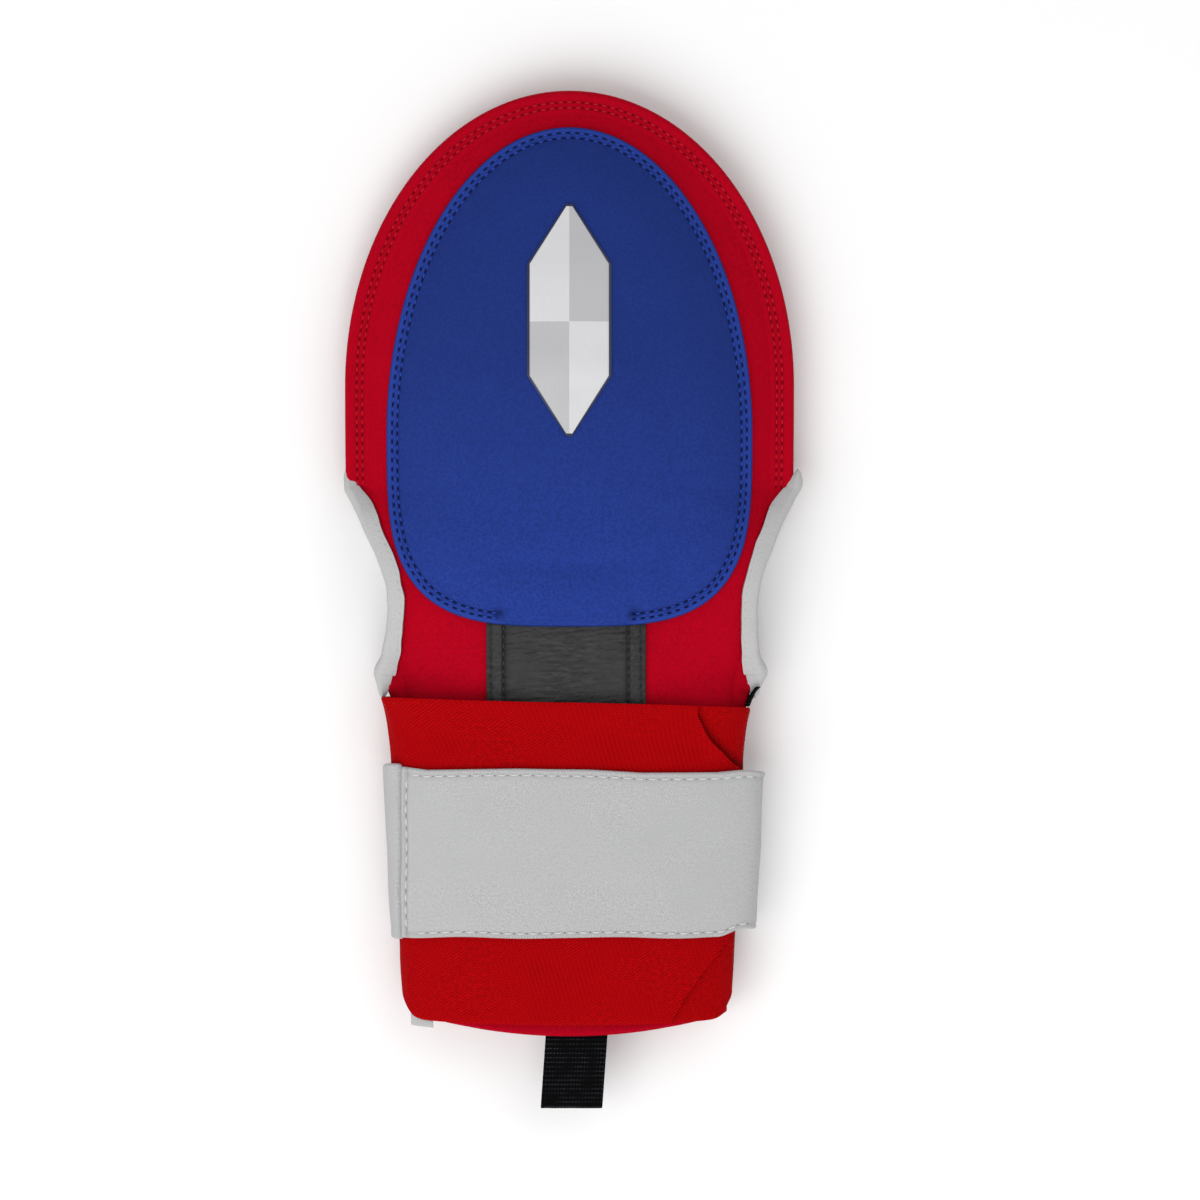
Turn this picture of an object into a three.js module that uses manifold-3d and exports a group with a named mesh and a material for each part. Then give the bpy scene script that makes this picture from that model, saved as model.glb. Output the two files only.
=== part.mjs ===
// A padded sliding mitt for a base runner, lying on its palm.
// Millimetres. +Y points to the fingertips, +X to the right when the back of the hand faces up,
// and +Z up from the surface that the mitt lies on. The origin is on that surface, at the middle.
import * as THREE from "three";
import { mergeVertices } from "three/addons/utils/BufferGeometryUtils.js";
import Module from "manifold-3d";

const wasm = await Module();
wasm.setup();

// Hand end: two padded panels sewn together round the rim
const HAND_WIDTH = 137;
const TOE_LENGTH = 90; // from the widest line to the fingertip end, half of an ellipse
const SIDE_LENGTH = 198; // from the widest line down to the hem
const HAND_HEIGHT = 32; // crown of the back panel above the surface
const HAND_SEAM_HEIGHT = 12.5; // the rim seam above the surface
const PALM_SINK = 2.5; // how far the palm would bulge below the surface if that did not flatten it
const BACK_WALL = 2.6;
const PALM_WALL = 3;
const SEAM_FLANGE = 7; // flat sewn margin inside the rim
const RIM_ROLL = 1.7; // radius of the turned edge

// Wrist end: a flattened sleeve, sewn to the two panels under the elastic
const SLEEVE_WALL = 2.6;
const SLEEVE_COVER = 2; // how far the sleeve's top lies above the strap's
const CUFF_WIDTH = 103;
const HEM_WIDTH = 95;
const CUFF_HEIGHT = 21.8;
const HEM_BOW = 6.5; // how much lower the hem hangs at its middle than at its sides

// Thumb holes, one on each side
const THUMB_HOLE_LENGTH = 56;
const THUMB_HOLE_DROP = 32; // from the widest line down to the hole's upper corner
const THUMB_HOLE_DEPTH = 8.6; // how far the panel edges curve in
const THUMB_SPREAD_UP = 9; // how far the back panel's free edge stands up from the seam line
const THUMB_SPREAD_DOWN = 6.5;
const WAIST_SWAY = 1.1; // the waist lies a little to the right of the hand's centre line
const BINDING_WIDTH = 4.1;
const BINDING_TAPE = 1;
const BINDING_OVERRUN = 5; // the tape runs on past each corner of the hole

// Layers round the wrist
const CLEARANCE = 0.35; // between pieces that touch
const ELASTIC = 1.1;
const ELASTIC_TOP_DROP = 96.5; // from the widest line to the elastic's upper edge, at the middle
const ELASTIC_LENGTH = 98; // along the arm, at the middle of the back
const ELASTIC_LEAN = 1.7; // the upper edge is this much lower on the right, and higher on the left
const ELASTIC_FLARE = 2.2; // the upper edge stands off the sleeve by this much
const FLARE_REACH = 15;
const ELASTIC_SIDE_LIFT = 0.9; // the lower edge is this much higher at the sides
const ELASTIC_CORNER_LIFT = 7.5; // and the rounding of its corners adds this
const WRAP_UPPER_FOLD_START = 37.6; // where the upper fold leaves the elastic's edge, from the centre
const WRAP_LOWER_FOLD_START = 30.6;
const WRAP_FOLD_END = 50;
const WRAP_UPPER_BEND = 0.57; // below 1, a fold's line starts steep and flattens out
const WRAP_LOWER_BEND = 0.8;
const FOLD_SHOWS = 1.2; // what shows of each fold at the strap, where it ends
const WRAP_TIP = 0.15; // angles round the wrist, from the right-hand side
const WRAP_START = 0.6;
const STRAP_WIDTH = 51;
const STRAP_DROP = 20.4; // from the elastic's upper edge to the strap's, at the middle
const STRAP_THICKNESS = 1.6;
const STRAP_LEAN = 0.8;
const STRAP_CUT = 2.4; // its lower corner on the right is cut back by this much
const STRAP_START = 0.45; // where its ends lie, as angles from the left-hand side
const STRAP_END = 0.1;
const STRAP_LOOP = 3; // how far the strap's right-hand turn stands off the wrist
const GUSSET = 0.7;
const GUSSET_SPREAD = 0.2; // its angle round the side, up from the middle
const GUSSET_UNDER = 0.2; // and how far below it
const GUSSET_FLARE = 1.4;

// Pieces sewn on the back
const PAD_MARGIN = 12.75; // the red that shows on each side of the pad at its widest
const PAD_UPPER_LENGTH = 93.4; // from the pad's widest line to its top
const PAD_LOWER_LENGTH = 58.7;
const PAD_DROP = 14.8; // from the mitt's widest line down to the pad's
const PAD_EDGE = 1.5;
const PAD_CROWN = 4.6;
const PAD_SEAM_MARGIN = 5; // the sewn border, inside which the padding swells
const PAD_MOUTH_EASE = 9; // how far from the strip's end the pad begins to rise
const PAD_MOUTH_RISE = 7; // over which it rises
const PAD_SQUARENESS = 3.4; // exponent of the pad's lower outline; 2 is an ellipse
const STRIP_WIDTH = 48.4;
const STRIP_CENTRE = -1;
const STRIP_THICKNESS = 1;
const STRIP_TUCK = 9; // hidden under the pad
const STRIP_HEM = 3.1; // hidden under the elastic
const BADGE_WIDTH = 24;
const BADGE_LENGTH = 72;
const BADGE_POINT = 19; // length of each pointed end
const BADGE_TIP = 1.5; // cut off each point
const BADGE_DROP = 19.5; // from the mitt's widest line up to the badge's middle
const BADGE_EDGE = 0.7;
const BADGE_RIDGE = 2;

// Pieces at the hem
const TAB_WIDTH = 18.8;
const TAB_REACH = 22.2; // what shows below the hem
const TAB_TUCK = 12;
const TAB_WEBBING = 1.2;
const TAB_LOOP_GAP = 0.8;
const TAB_LEAN = THREE.MathUtils.degToRad(4);
const TAB_DROOP = 5;
const TAB_CENTRE = 3;
const LABEL_WIDTH = 6.4;
const LABEL_REACH = 2.2; // below the elastic's lower edge
const LABEL_CLOTH = 0.7;
const LABEL_CENTRE = 44.4; // from the centre line, on the left

// Places that follow from the sizes
const WIDEST_Y = (TOE_LENGTH + SIDE_LENGTH + TAB_REACH) / 2 - TOE_LENGTH;
const HEM_Y = WIDEST_Y - SIDE_LENGTH;
const HOLE_TOP = WIDEST_Y - THUMB_HOLE_DROP;
const HOLE_BOTTOM = HOLE_TOP - THUMB_HOLE_LENGTH;
const LAYER = CLEARANCE + ELASTIC;
const CUFF_BELLY = 2 * LAYER + CLEARANCE + STRAP_THICKNESS;
const CUFF_SEAM_HEIGHT = CUFF_BELLY + CUFF_HEIGHT / 2;
const ELASTIC_TOP = WIDEST_Y - ELASTIC_TOP_DROP;
const ELASTIC_BOTTOM = ELASTIC_TOP - ELASTIC_LENGTH;
const STRAP_TOP = ELASTIC_TOP - STRAP_DROP;
const STRAP_BOTTOM = STRAP_TOP - STRAP_WIDTH;
const SLEEVE_TOP = STRAP_TOP + SLEEVE_COVER;
const PAD_WIDTH = HAND_WIDTH - 2 * PAD_MARGIN;
const PAD_Y = WIDEST_Y - PAD_DROP;

// Sections of the panels. along: 0 at the widest line, 1 at the hem.
// narrow: 0 at the hand's width, 1 at the cuff's.
// settle: 0 at the hand's heights, 1 at the cuff's. oval: 0 a sewn rim, 1 a rolled oval sleeve.
const SECTIONS = [
  { along: 0, narrow: 0, settle: 0, oval: 0 },
  { along: 0.141, narrow: 0.012, settle: 0, oval: 0 },
  { along: 0.227, narrow: 0.088, settle: 0, oval: 0 },
  { along: 0.328, narrow: 0.324, settle: 0.04, oval: 0 },
  { along: 0.404, narrow: 0.53, settle: 0.28, oval: 0 },
  { along: 0.445, narrow: 0.66, settle: 0.56, oval: 0.06 },
  { along: 0.48, narrow: 0.818, settle: 0.82, oval: 0.3 },
  { along: 0.531, narrow: 0.947, settle: 0.96, oval: 0.8 },
  { along: 0.581, narrow: 1, settle: 1, oval: 1 },
];
const HAND_SHOULDER = 2.2; // exponents of the arch across the hand, and of the cuff's oval
const HAND_ROLL = 1.05;
const CUFF_OVAL = 2.6;

const { lerp, clamp } = THREE.MathUtils;

// Reads a column of SECTIONS on a smooth curve that never overshoots its rows.
function column(name, along) {
  const last = SECTIONS.length - 1;
  const place = clamp(along, 0, SECTIONS[last].along);
  const next = Math.max(1, SECTIONS.findIndex((row) => row.along >= place));
  const rise = (i) => {
    if (i < 1 || i > last) return 0;
    return (SECTIONS[i][name] - SECTIONS[i - 1][name]) / (SECTIONS[i].along - SECTIONS[i - 1].along);
  };
  const slope = (i) => {
    const before = rise(i);
    const after = rise(i + 1);
    return before * after > 0 ? (2 * before * after) / (before + after) : 0;
  };
  const start = SECTIONS[next - 1];
  const end = SECTIONS[next];
  const span = end.along - start.along;
  const t = (place - start.along) / span;
  const ease = t * t * (3 - 2 * t);
  return (
    lerp(start[name], end[name], ease) +
    span * (t * (1 - t) * (1 - t) * slope(next - 1) - t * t * (1 - t) * slope(next))
  );
}

// The mitt's cross-section at a place along it.
function sectionAt(y) {
  const along = (WIDEST_Y - y) / SIDE_LENGTH;
  const settle = column("settle", along);
  const oval = column("oval", along);
  const holeShare = clamp((y - HOLE_BOTTOM) / THUMB_HOLE_LENGTH, 0, 1);
  const open = Math.sin(Math.PI * holeShare);
  const taper = clamp((STRAP_TOP - y) / (STRAP_TOP - HEM_Y), 0, 1);
  const cuffHalf = lerp(CUFF_WIDTH / 2, HEM_WIDTH / 2, taper);
  const halfWidth = lerp(HAND_WIDTH / 2, cuffHalf, column("narrow", along));
  return {
    halfWidth,
    edge: halfWidth - THUMB_HOLE_DEPTH * open,
    sway: WAIST_SWAY * open,
    seam: lerp(HAND_SEAM_HEIGHT, CUFF_SEAM_HEIGHT, settle),
    crown: lerp(HAND_HEIGHT, CUFF_BELLY + CUFF_HEIGHT, settle),
    belly: lerp(-PALM_SINK, CUFF_BELLY, settle),
    flange: SEAM_FLANGE * (1 - oval),
    roll: RIM_ROLL * (1 - oval),
    backLift: BACK_WALL * (1 - oval) + THUMB_SPREAD_UP * open,
    palmLift: PALM_WALL * (1 - oval) + THUMB_SPREAD_DOWN * open,
    shoulder: lerp(HAND_SHOULDER, CUFF_OVAL, oval),
    arch: lerp(HAND_ROLL, CUFF_OVAL, oval),
  };
}

// How far out a point lies: radius is 0 on the centre line and 1 at the rim, and inset is its
// distance from the rim. Past the widest line both follow the half ellipse of the toe.
function rimPlace(x, y, section) {
  const across = (x - section.sway) / section.halfWidth;
  const up = Math.max(0, y - WIDEST_Y) / TOE_LENGTH;
  const radius = Math.hypot(across, up);
  const steepness =
    radius > 1e-9
      ? Math.hypot(across / section.halfWidth, up / TOE_LENGTH) / radius
      : 1 / section.halfWidth;
  return { radius, steepness, inset: (1 - radius) / steepness };
}

// Share of the crown's rise at a point: 1 on the centre line and 0 on the sewn margin.
function arch(x, y, section) {
  const { radius, steepness } = rimPlace(x, y, section);
  const share = radius / (1 - section.flange * steepness);
  return share < 1 ? (1 - share ** section.shoulder) ** (1 / section.arch) : 0;
}

// How much the turned edge has rolled in at a point.
function edgeRoll(x, y, section) {
  const { inset } = rimPlace(x, y, section);
  const left = section.roll - clamp(inset, 0, section.roll);
  return section.roll - Math.sqrt(section.roll ** 2 - left ** 2);
}

// The skins of the two panels before their edges turn in.
function backDome(x, y) {
  const section = sectionAt(y);
  const edge = section.seam + CLEARANCE / 2 + section.backLift;
  return lerp(edge, section.crown, arch(x, y, section));
}

function palmDome(x, y) {
  const section = sectionAt(y);
  const edge = section.seam - CLEARANCE / 2 - section.palmLift;
  return lerp(edge, section.belly, arch(x, y, section));
}

function backTop(x, y) {
  return backDome(x, y) - edgeRoll(x, y, sectionAt(y));
}

function palmUnderside(x, y) {
  return Math.max(0, palmDome(x, y) + edgeRoll(x, y, sectionAt(y)));
}

// Unit normal of a height field, pointing up.
function upNormal(height, x, y) {
  const step = 0.05;
  const section = sectionAt(y);
  const rim = y > WIDEST_Y ? Infinity : section.halfWidth;
  const right = Math.min(x + step, section.sway + rim);
  const left = Math.max(x - step, section.sway - rim);
  const alongX = (height(right, y) - height(left, y)) / (right - left);
  const alongY = (height(x, y + step) - height(x, y - step)) / (2 * step);
  return new THREE.Vector3(-alongX, -alongY, 1).normalize();
}

// Closes two facing grids of points into one solid. Both are arrays of rows of Vector3.
// loop joins the last row to the first, and centre leaves the rows' first points open because
// they meet each other there.
function thickSheet(outer, inner, { loop = false, centre = false } = {}) {
  const positions = [];
  const rows = outer.length;
  const last = outer[0].length - 1;
  const triangle = (a, b, c) => positions.push(...a.toArray(), ...b.toArray(), ...c.toArray());
  const quad = (a, b, c, d) => {
    triangle(a, b, c);
    triangle(a, c, d);
  };
  for (let i = 0; i < (loop ? rows : rows - 1); i++) {
    const j = (i + 1) % rows;
    for (let k = 0; k < last; k++) {
      quad(outer[i][k], outer[j][k], outer[j][k + 1], outer[i][k + 1]);
      quad(inner[i][k + 1], inner[j][k + 1], inner[j][k], inner[i][k]);
    }
    quad(outer[i][last], outer[j][last], inner[j][last], inner[i][last]);
    if (!centre) quad(inner[i][0], inner[j][0], outer[j][0], outer[i][0]);
  }
  if (!loop) {
    for (let k = 0; k < last; k++) {
      quad(inner[0][k], outer[0][k], outer[0][k + 1], inner[0][k + 1]);
      quad(inner[rows - 1][k + 1], outer[rows - 1][k + 1], outer[rows - 1][k], inner[rows - 1][k]);
    }
  }
  return closed(positions);
}

// Welds loose triangles, drops those with no area and turns the faces outwards.
function closed(positions) {
  const loose = new THREE.BufferGeometry();
  loose.setAttribute("position", new THREE.Float32BufferAttribute(positions, 3));
  const welded = mergeVertices(loose, 1e-3);
  const index = [];
  for (let i = 0; i < welded.index.count; i += 3) {
    const [a, b, c] = [0, 1, 2].map((k) => welded.index.getX(i + k));
    if (a !== b && b !== c && c !== a) index.push(a, b, c);
  }
  welded.setIndex(index);
  if (volume(welded) < 0) {
    for (let i = 0; i < index.length; i += 3) [index[i + 1], index[i + 2]] = [index[i + 2], index[i + 1]];
    welded.setIndex(index);
  }
  return welded;
}

function volume(geometry) {
  const { position } = geometry.attributes;
  let total = 0;
  for (let i = 0; i < geometry.index.count; i += 3) {
    const [a, b, c] = [0, 1, 2].map((k) =>
      new THREE.Vector3().fromBufferAttribute(position, geometry.index.getX(i + k)),
    );
    total += a.dot(b.cross(c)) / 6;
  }
  return total;
}

function toSolid(geometry) {
  return new wasm.Manifold(
    new wasm.Mesh({
      numProp: 3,
      vertProperties: geometry.attributes.position.array,
      triVerts: new Uint32Array(geometry.index.array),
    }),
  );
}

// The largest body of a solid, as a geometry.
function toGeometry(solid) {
  const body = solid.decompose().sort((a, b) => b.volume() - a.volume())[0];
  const mesh = body.getMesh();
  return new THREE.BufferGeometry()
    .setAttribute("position", new THREE.BufferAttribute(mesh.vertProperties, 3))
    .setIndex(new THREE.BufferAttribute(mesh.triVerts, 1));
}

// Evenly spaced values from start to end, both included.
function steps(start, end, count) {
  return Array.from({ length: count + 1 }, (_, i) => lerp(start, end, i / count));
}

// The panels

const STEPS_ABOVE_HOLE = 3;
const STEPS_IN_HOLE = 12;
const STEPS_TO_CUFF = 4;
const TOE_STEPS = 16;
const DOME_RINGS = [0, 0.24, 0.46, 0.66, 0.84, 1]; // from the centre line to the sewn margin
const MARGIN_RINGS = [0.5, 0.82, 1]; // from there to the rim
const LEAST_MARGIN = 3;

// Places from the widest line down to the sleeve at which the panels have a row of points.
function sideStations() {
  return [
    ...steps(WIDEST_Y, HOLE_TOP, STEPS_ABOVE_HOLE),
    ...steps(HOLE_TOP, HOLE_BOTTOM, STEPS_IN_HOLE).slice(1),
    ...steps(HOLE_BOTTOM, SLEEVE_TOP + CLEARANCE, STEPS_TO_CUFF).slice(1),
  ];
}

// Rings as shares of the way from the centre line to the edge.
function ringShares(section) {
  const margin = Math.max(section.flange, LEAST_MARGIN) / section.halfWidth;
  const dome = DOME_RINGS.map((share) => share * (1 - margin));
  return [...dome, ...MARGIN_RINGS.map((share) => 1 - margin * (1 - share))];
}

// Points in plan: up one side from the sleeve, round the toe and down the other side.
function panelPlan(grow) {
  const side = (sign) =>
    sideStations().map((station) => {
      const section = sectionAt(station);
      return ringShares(section).map((share) => ({
        x: section.sway + sign * share * (section.edge + grow),
        y: station,
      }));
    });
  const section = sectionAt(WIDEST_Y);
  const toe = steps(0, Math.PI, TOE_STEPS)
    .slice(1, -1)
    .map((angle) =>
      ringShares(section).map((share) => ({
        x: share * (section.halfWidth + grow) * Math.cos(angle),
        y: WIDEST_Y + share * (TOE_LENGTH + grow) * Math.sin(angle),
      })),
    );
  return [...side(1).reverse(), ...toe, ...side(-1)];
}

// One padded panel. side is 1 for the back and -1 for the palm, and grow thickens it all round,
// for cutting room out of its neighbours.
function panel(side, grow = 0) {
  const height = side > 0 ? backTop : palmUnderside;
  const wall = (side > 0 ? BACK_WALL : PALM_WALL) + 2 * grow;
  const outer = [];
  const inner = [];
  for (const row of panelPlan(grow)) {
    const skins = row.map(({ x, y }) => {
      const section = sectionAt(y);
      const normal = upNormal(height, x, y).multiplyScalar(side);
      const skin = new THREE.Vector3(x, y, height(x, y)).addScaledVector(normal, grow);
      const lining = skin.clone().addScaledVector(normal, -wall);
      const seam = section.seam + side * (CLEARANCE / 2 - grow);
      lining.z = side > 0 ? Math.max(lining.z, seam) : Math.min(lining.z, seam);
      return { skin, lining };
    });
    outer.push(skins.map((point) => point.skin));
    inner.push(skins.map((point) => point.lining));
  }
  return thickSheet(outer, inner, { centre: true });
}

// The bindings of the thumb holes

// Frames along a panel's free edge: the middle of the wall, the way into the panel and its normal.
function edgeFrames(side, panelSide) {
  const dome = panelSide > 0 ? backDome : palmDome;
  const wall = panelSide > 0 ? BACK_WALL : PALM_WALL;
  const wallMiddle = (y, inset) => {
    const section = sectionAt(y);
    const x = section.sway + side * (section.edge - inset);
    return new THREE.Vector3(x, y, Math.max(0, dome(x, y)) - (panelSide * wall) / 2);
  };
  const frames = steps(HOLE_BOTTOM, HOLE_TOP, STEPS_IN_HOLE).map((y) => {
    const middle = wallMiddle(y, 0);
    const forward = wallMiddle(y + 1, 0).sub(wallMiddle(y - 1, 0)).normalize();
    const inward = wallMiddle(y, BINDING_WIDTH).sub(middle);
    inward.addScaledVector(forward, -inward.dot(forward)).normalize();
    const normal = forward.clone().cross(inward).normalize();
    if (normal.z * panelSide < 0) normal.negate();
    return { middle, forward, inward, normal, width: BINDING_WIDTH };
  });
  const overrun = (frame, sign, share) => ({
    ...frame,
    middle: frame.middle.clone().addScaledVector(frame.forward, sign * share * BINDING_OVERRUN),
    width: BINDING_WIDTH * (1 - 0.6 * share),
  });
  const first = frames[0];
  const last = frames[frames.length - 1];
  const lower = [1, 0.5].map((share) => overrun(first, -1, share));
  const upper = [0.5, 1].map((share) => overrun(last, 1, share));
  return [...lower, ...frames, ...upper];
}

// A rounded strip that holds a panel's edge inside it.
function edgeStrip(side, panelSide) {
  const wall = panelSide > 0 ? BACK_WALL : PALM_WALL;
  const half = wall / 2 + CLEARANCE + BINDING_TAPE;
  const proud = CLEARANCE + BINDING_TAPE;
  const outer = edgeFrames(side, panelSide).map((frame) => {
    const profile = [
      [frame.width, half - 0.3],
      [frame.width * 0.5, half],
      [0, half],
      [-proud * 0.7, half * 0.7],
      [-proud, 0],
      [-proud * 0.7, -half * 0.7],
      [0, -half],
      [frame.width * 0.5, -half],
      [frame.width, 0.3 - half],
    ];
    return profile.map(([into, up]) => {
      const point = frame.middle.clone();
      point.addScaledVector(frame.inward, into).addScaledVector(frame.normal, up);
      const section = sectionAt(point.y);
      const reach = section.halfWidth + proud;
      point.x = clamp(point.x, section.sway - reach, section.sway + reach);
      return point;
    });
  });
  const core = outer.map((row) => {
    const middle = new THREE.Vector3();
    row.forEach((point) => middle.addScaledVector(point, 1 / row.length));
    return row.map(() => middle);
  });
  return closedTube(outer, core);
}

// A tube of closed profiles with flat ends.
function closedTube(profiles, middles) {
  const positions = [];
  const triangle = (a, b, c) => positions.push(...a.toArray(), ...b.toArray(), ...c.toArray());
  const count = profiles[0].length;
  const last = profiles.length - 1;
  for (let k = 0; k < count; k++) {
    const n = (k + 1) % count;
    for (let i = 0; i < last; i++) {
      triangle(profiles[i][k], profiles[i + 1][k], profiles[i + 1][n]);
      triangle(profiles[i][k], profiles[i + 1][n], profiles[i][n]);
    }
    triangle(middles[0][0], profiles[0][k], profiles[0][n]);
    triangle(middles[last][0], profiles[last][n], profiles[last][k]);
  }
  return closed(positions);
}

function thumbBinding(side) {
  const room = [1, -1].map((panelSide) => toSolid(panel(panelSide, CLEARANCE)));
  const strips = [1, -1].map((panelSide) => toSolid(edgeStrip(side, panelSide)));
  return toGeometry(strips[0].add(strips[1]).subtract(room[0]).subtract(room[1]));
}

// The layers round the wrist

const CUFF_STEPS = 40;
const LEVELS = [
  ELASTIC_TOP,
  ELASTIC_TOP - 0.3 * FLARE_REACH,
  ELASTIC_TOP - 0.6 * FLARE_REACH,
  ELASTIC_TOP - FLARE_REACH,
  STRAP_TOP,
  STRAP_BOTTOM,
].reverse();

// Turns round the wrist from start to end. All layers share these and the levels above, so that
// their facets lie side by side. extra adds the turns where an edge has a corner.
function turnsBetween(start, end, extra = []) {
  const step = (2 * Math.PI) / CUFF_STEPS;
  const shared = [];
  for (let i = Math.ceil(start / step + 0.2); i * step < end - 0.2 * step; i++) shared.push(i * step);
  return [start, ...shared, ...extra, end].sort((a, b) => a - b);
}

// A point on the oval that lies off the sleeve by a distance. turn is 0 at the right-hand side
// and a quarter turn at the top.
function ovalPoint(turn, y, off) {
  const section = sectionAt(y);
  const middle = (section.crown + section.belly) / 2;
  const rise = (section.crown - section.belly) / 2;
  const bend = (value) => Math.sign(value) * Math.abs(value) ** (2 / CUFF_OVAL);
  return new THREE.Vector3(
    (section.halfWidth + off) * bend(Math.cos(turn)),
    y,
    middle + (rise + off) * bend(Math.sin(turn)),
  );
}

// The turn at which the oval reaches a distance to the right of the centre line, over the top.
function turnAt(x, y, off) {
  const share = clamp(x / (sectionAt(y).halfWidth + off), -1, 1);
  return Math.acos(Math.sign(share) * Math.abs(share) ** (CUFF_OVAL / 2));
}

// How far the elastic stands off its seat near its upper edge. At the sides and underneath it lies
// flat.
function flare(turn, y) {
  const upper = clamp(1.6 * Math.sin(turn), 0, 1);
  return ELASTIC_FLARE * upper * clamp((y - ELASTIC_TOP + FLARE_REACH) / FLARE_REACH, 0, 1.1) ** 2;
}

// A layer round the wrist: off(turn, y) is its distance from the sleeve, and low and high give
// its edges at each turn.
function wristLayer({ turns, loop = false, thickness, off, low, high }) {
  const skin = (extra) =>
    turns.map((turn) => {
      const from = low(turn);
      const to = high(turn);
      const stations = [from, ...LEVELS.map((level) => clamp(level, from, to)), to];
      return stations.map((y) => ovalPoint(turn, y, off(turn, y) + extra));
    });
  return thickSheet(skin(thickness), skin(0), { loop });
}

// The sleeve's lower edge is the hem, which bows down towards the middle of the back and palm.
function wristSleeve() {
  return wristLayer({
    turns: turnsBetween(0, 2 * Math.PI, Object.values(wrapFolds())).slice(0, -1),
    loop: true,
    thickness: SLEEVE_WALL,
    off: () => -SLEEVE_WALL,
    low: (turn) => HEM_Y + HEM_BOW * Math.abs(Math.cos(turn)) ** (4 / CUFF_OVAL),
    high: () => SLEEVE_TOP,
  });
}

function elasticHigh(turn) {
  return ELASTIC_TOP - ELASTIC_LEAN * Math.cos(turn);
}

function elasticLow(turn) {
  const across = Math.abs(Math.cos(turn));
  return ELASTIC_BOTTOM + ELASTIC_SIDE_LIFT * across ** 2 + ELASTIC_CORNER_LIFT * across ** 26;
}

// Where the folded end of the outer layer begins and ends.
function wrapFolds() {
  const off = LAYER + CLEARANCE;
  return {
    upper: turnAt(WRAP_UPPER_FOLD_START, ELASTIC_TOP, off),
    lower: turnAt(WRAP_LOWER_FOLD_START, ELASTIC_BOTTOM, off),
    end: turnAt(WRAP_FOLD_END, STRAP_TOP, off),
  };
}

function elasticCuff() {
  return wristLayer({
    turns: turnsBetween(0, 2 * Math.PI, Object.values(wrapFolds())).slice(0, -1),
    loop: true,
    thickness: ELASTIC,
    off: (turn, y) => CLEARANCE + flare(turn, y),
    low: elasticLow,
    high: elasticHigh,
  });
}

// The outer layer comes round from under the palm and over the left side, and its end is folded
// to a taper that runs under the strap on the right.
function elasticWrap() {
  const folds = wrapFolds();
  const across = (turn) => Math.sign(Math.cos(turn)) * Math.abs(Math.cos(turn)) ** (2 / CUFF_OVAL);
  const fold = (turn, start, bend, edge, end) => {
    if (turn >= start) return edge;
    const share = (across(turn) - across(start)) / (across(folds.end) - across(start));
    return lerp(edge, end, turn > folds.end ? share ** bend : 1);
  };
  return wristLayer({
    turns: turnsBetween(WRAP_TIP, 2 * Math.PI - WRAP_START, Object.values(folds)),
    thickness: ELASTIC,
    off: (turn, y) => LAYER + CLEARANCE + flare(turn, y),
    low: (turn) => fold(turn, folds.lower, WRAP_LOWER_BEND, elasticLow(turn), STRAP_BOTTOM - FOLD_SHOWS),
    high: (turn) => fold(turn, folds.upper, WRAP_UPPER_BEND, elasticHigh(turn), STRAP_TOP + FOLD_SHOWS),
  });
}

// The strap starts at its hemmed free end on the left, crosses the back, turns round the right
// side in a loose loop and ends under the palm.
function closureStrap() {
  const loopShape = (turn) => STRAP_LOOP * Math.max(0, Math.cos(turn)) ** 8;
  return wristLayer({
    turns: turnsBetween(STRAP_START - Math.PI, Math.PI + STRAP_END),
    thickness: STRAP_THICKNESS,
    off: (turn) => 2 * LAYER + CLEARANCE + loopShape(turn),
    low: (turn) => STRAP_BOTTOM + STRAP_CUT * clamp((Math.cos(turn) - 0.8) / 0.15, 0, 1),
    high: (turn) => STRAP_TOP - STRAP_LEAN * Math.cos(turn),
  });
}

// A black stretch web that closes the right side between the thumb hole and the elastic.
function sideGusset() {
  const top = HOLE_BOTTOM - BINDING_OVERRUN - 2 * CLEARANCE;
  const length = top - elasticHigh(0);
  return wristLayer({
    turns: turnsBetween(-GUSSET_UNDER, GUSSET_SPREAD, [0]),
    thickness: GUSSET,
    off: (turn, y) => CLEARANCE + GUSSET_FLARE * clamp(1 - (top - y) / length, 0, 1) ** 2,
    low: (turn) => elasticHigh(turn) + CLEARANCE,
    high: () => top,
  });
}

// A small tag that hangs from the elastic's lower edge, near the left side.
function sideLabel() {
  const off = 2 * CLEARANCE;
  const start = turnAt(LABEL_WIDTH / 2 - LABEL_CENTRE, ELASTIC_BOTTOM, off);
  const end = turnAt(-LABEL_WIDTH / 2 - LABEL_CENTRE, ELASTIC_BOTTOM, off);
  return wristLayer({
    turns: steps(start, end, 3),
    thickness: LABEL_CLOTH,
    off: () => off,
    low: () => elasticLow(start) - LABEL_REACH,
    high: (turn) => elasticLow(turn) - CLEARANCE,
  });
}

// The pad and what is sewn near it

// The pad's rim at an angle round its middle.
function padRim(angle) {
  const upper = Math.sin(angle) >= 0;
  const power = upper ? 2 : PAD_SQUARENESS;
  const length = upper ? PAD_UPPER_LENGTH : PAD_LOWER_LENGTH;
  const bend = (value) => Math.sign(value) * Math.abs(value) ** (2 / power);
  return { x: (PAD_WIDTH / 2) * bend(Math.cos(angle)), y: length * bend(Math.sin(angle)) };
}

// The pad's lower edge is left open over the strip, so it stands clear of it there.
function padSeat(x, y) {
  const mouth = PAD_Y - PAD_LOWER_LENGTH + STRIP_TUCK + PAD_MOUTH_EASE;
  const beside = (STRIP_WIDTH / 2 + PAD_MOUTH_EASE - Math.abs(x - STRIP_CENTRE)) / PAD_MOUTH_RISE;
  const below = (mouth - y) / PAD_MOUTH_RISE;
  const raised = clamp(beside, 0, 1) * clamp(below, 0, 1);
  return 1.5 * CLEARANCE + (STRIP_THICKNESS + CLEARANCE) * raised;
}

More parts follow.
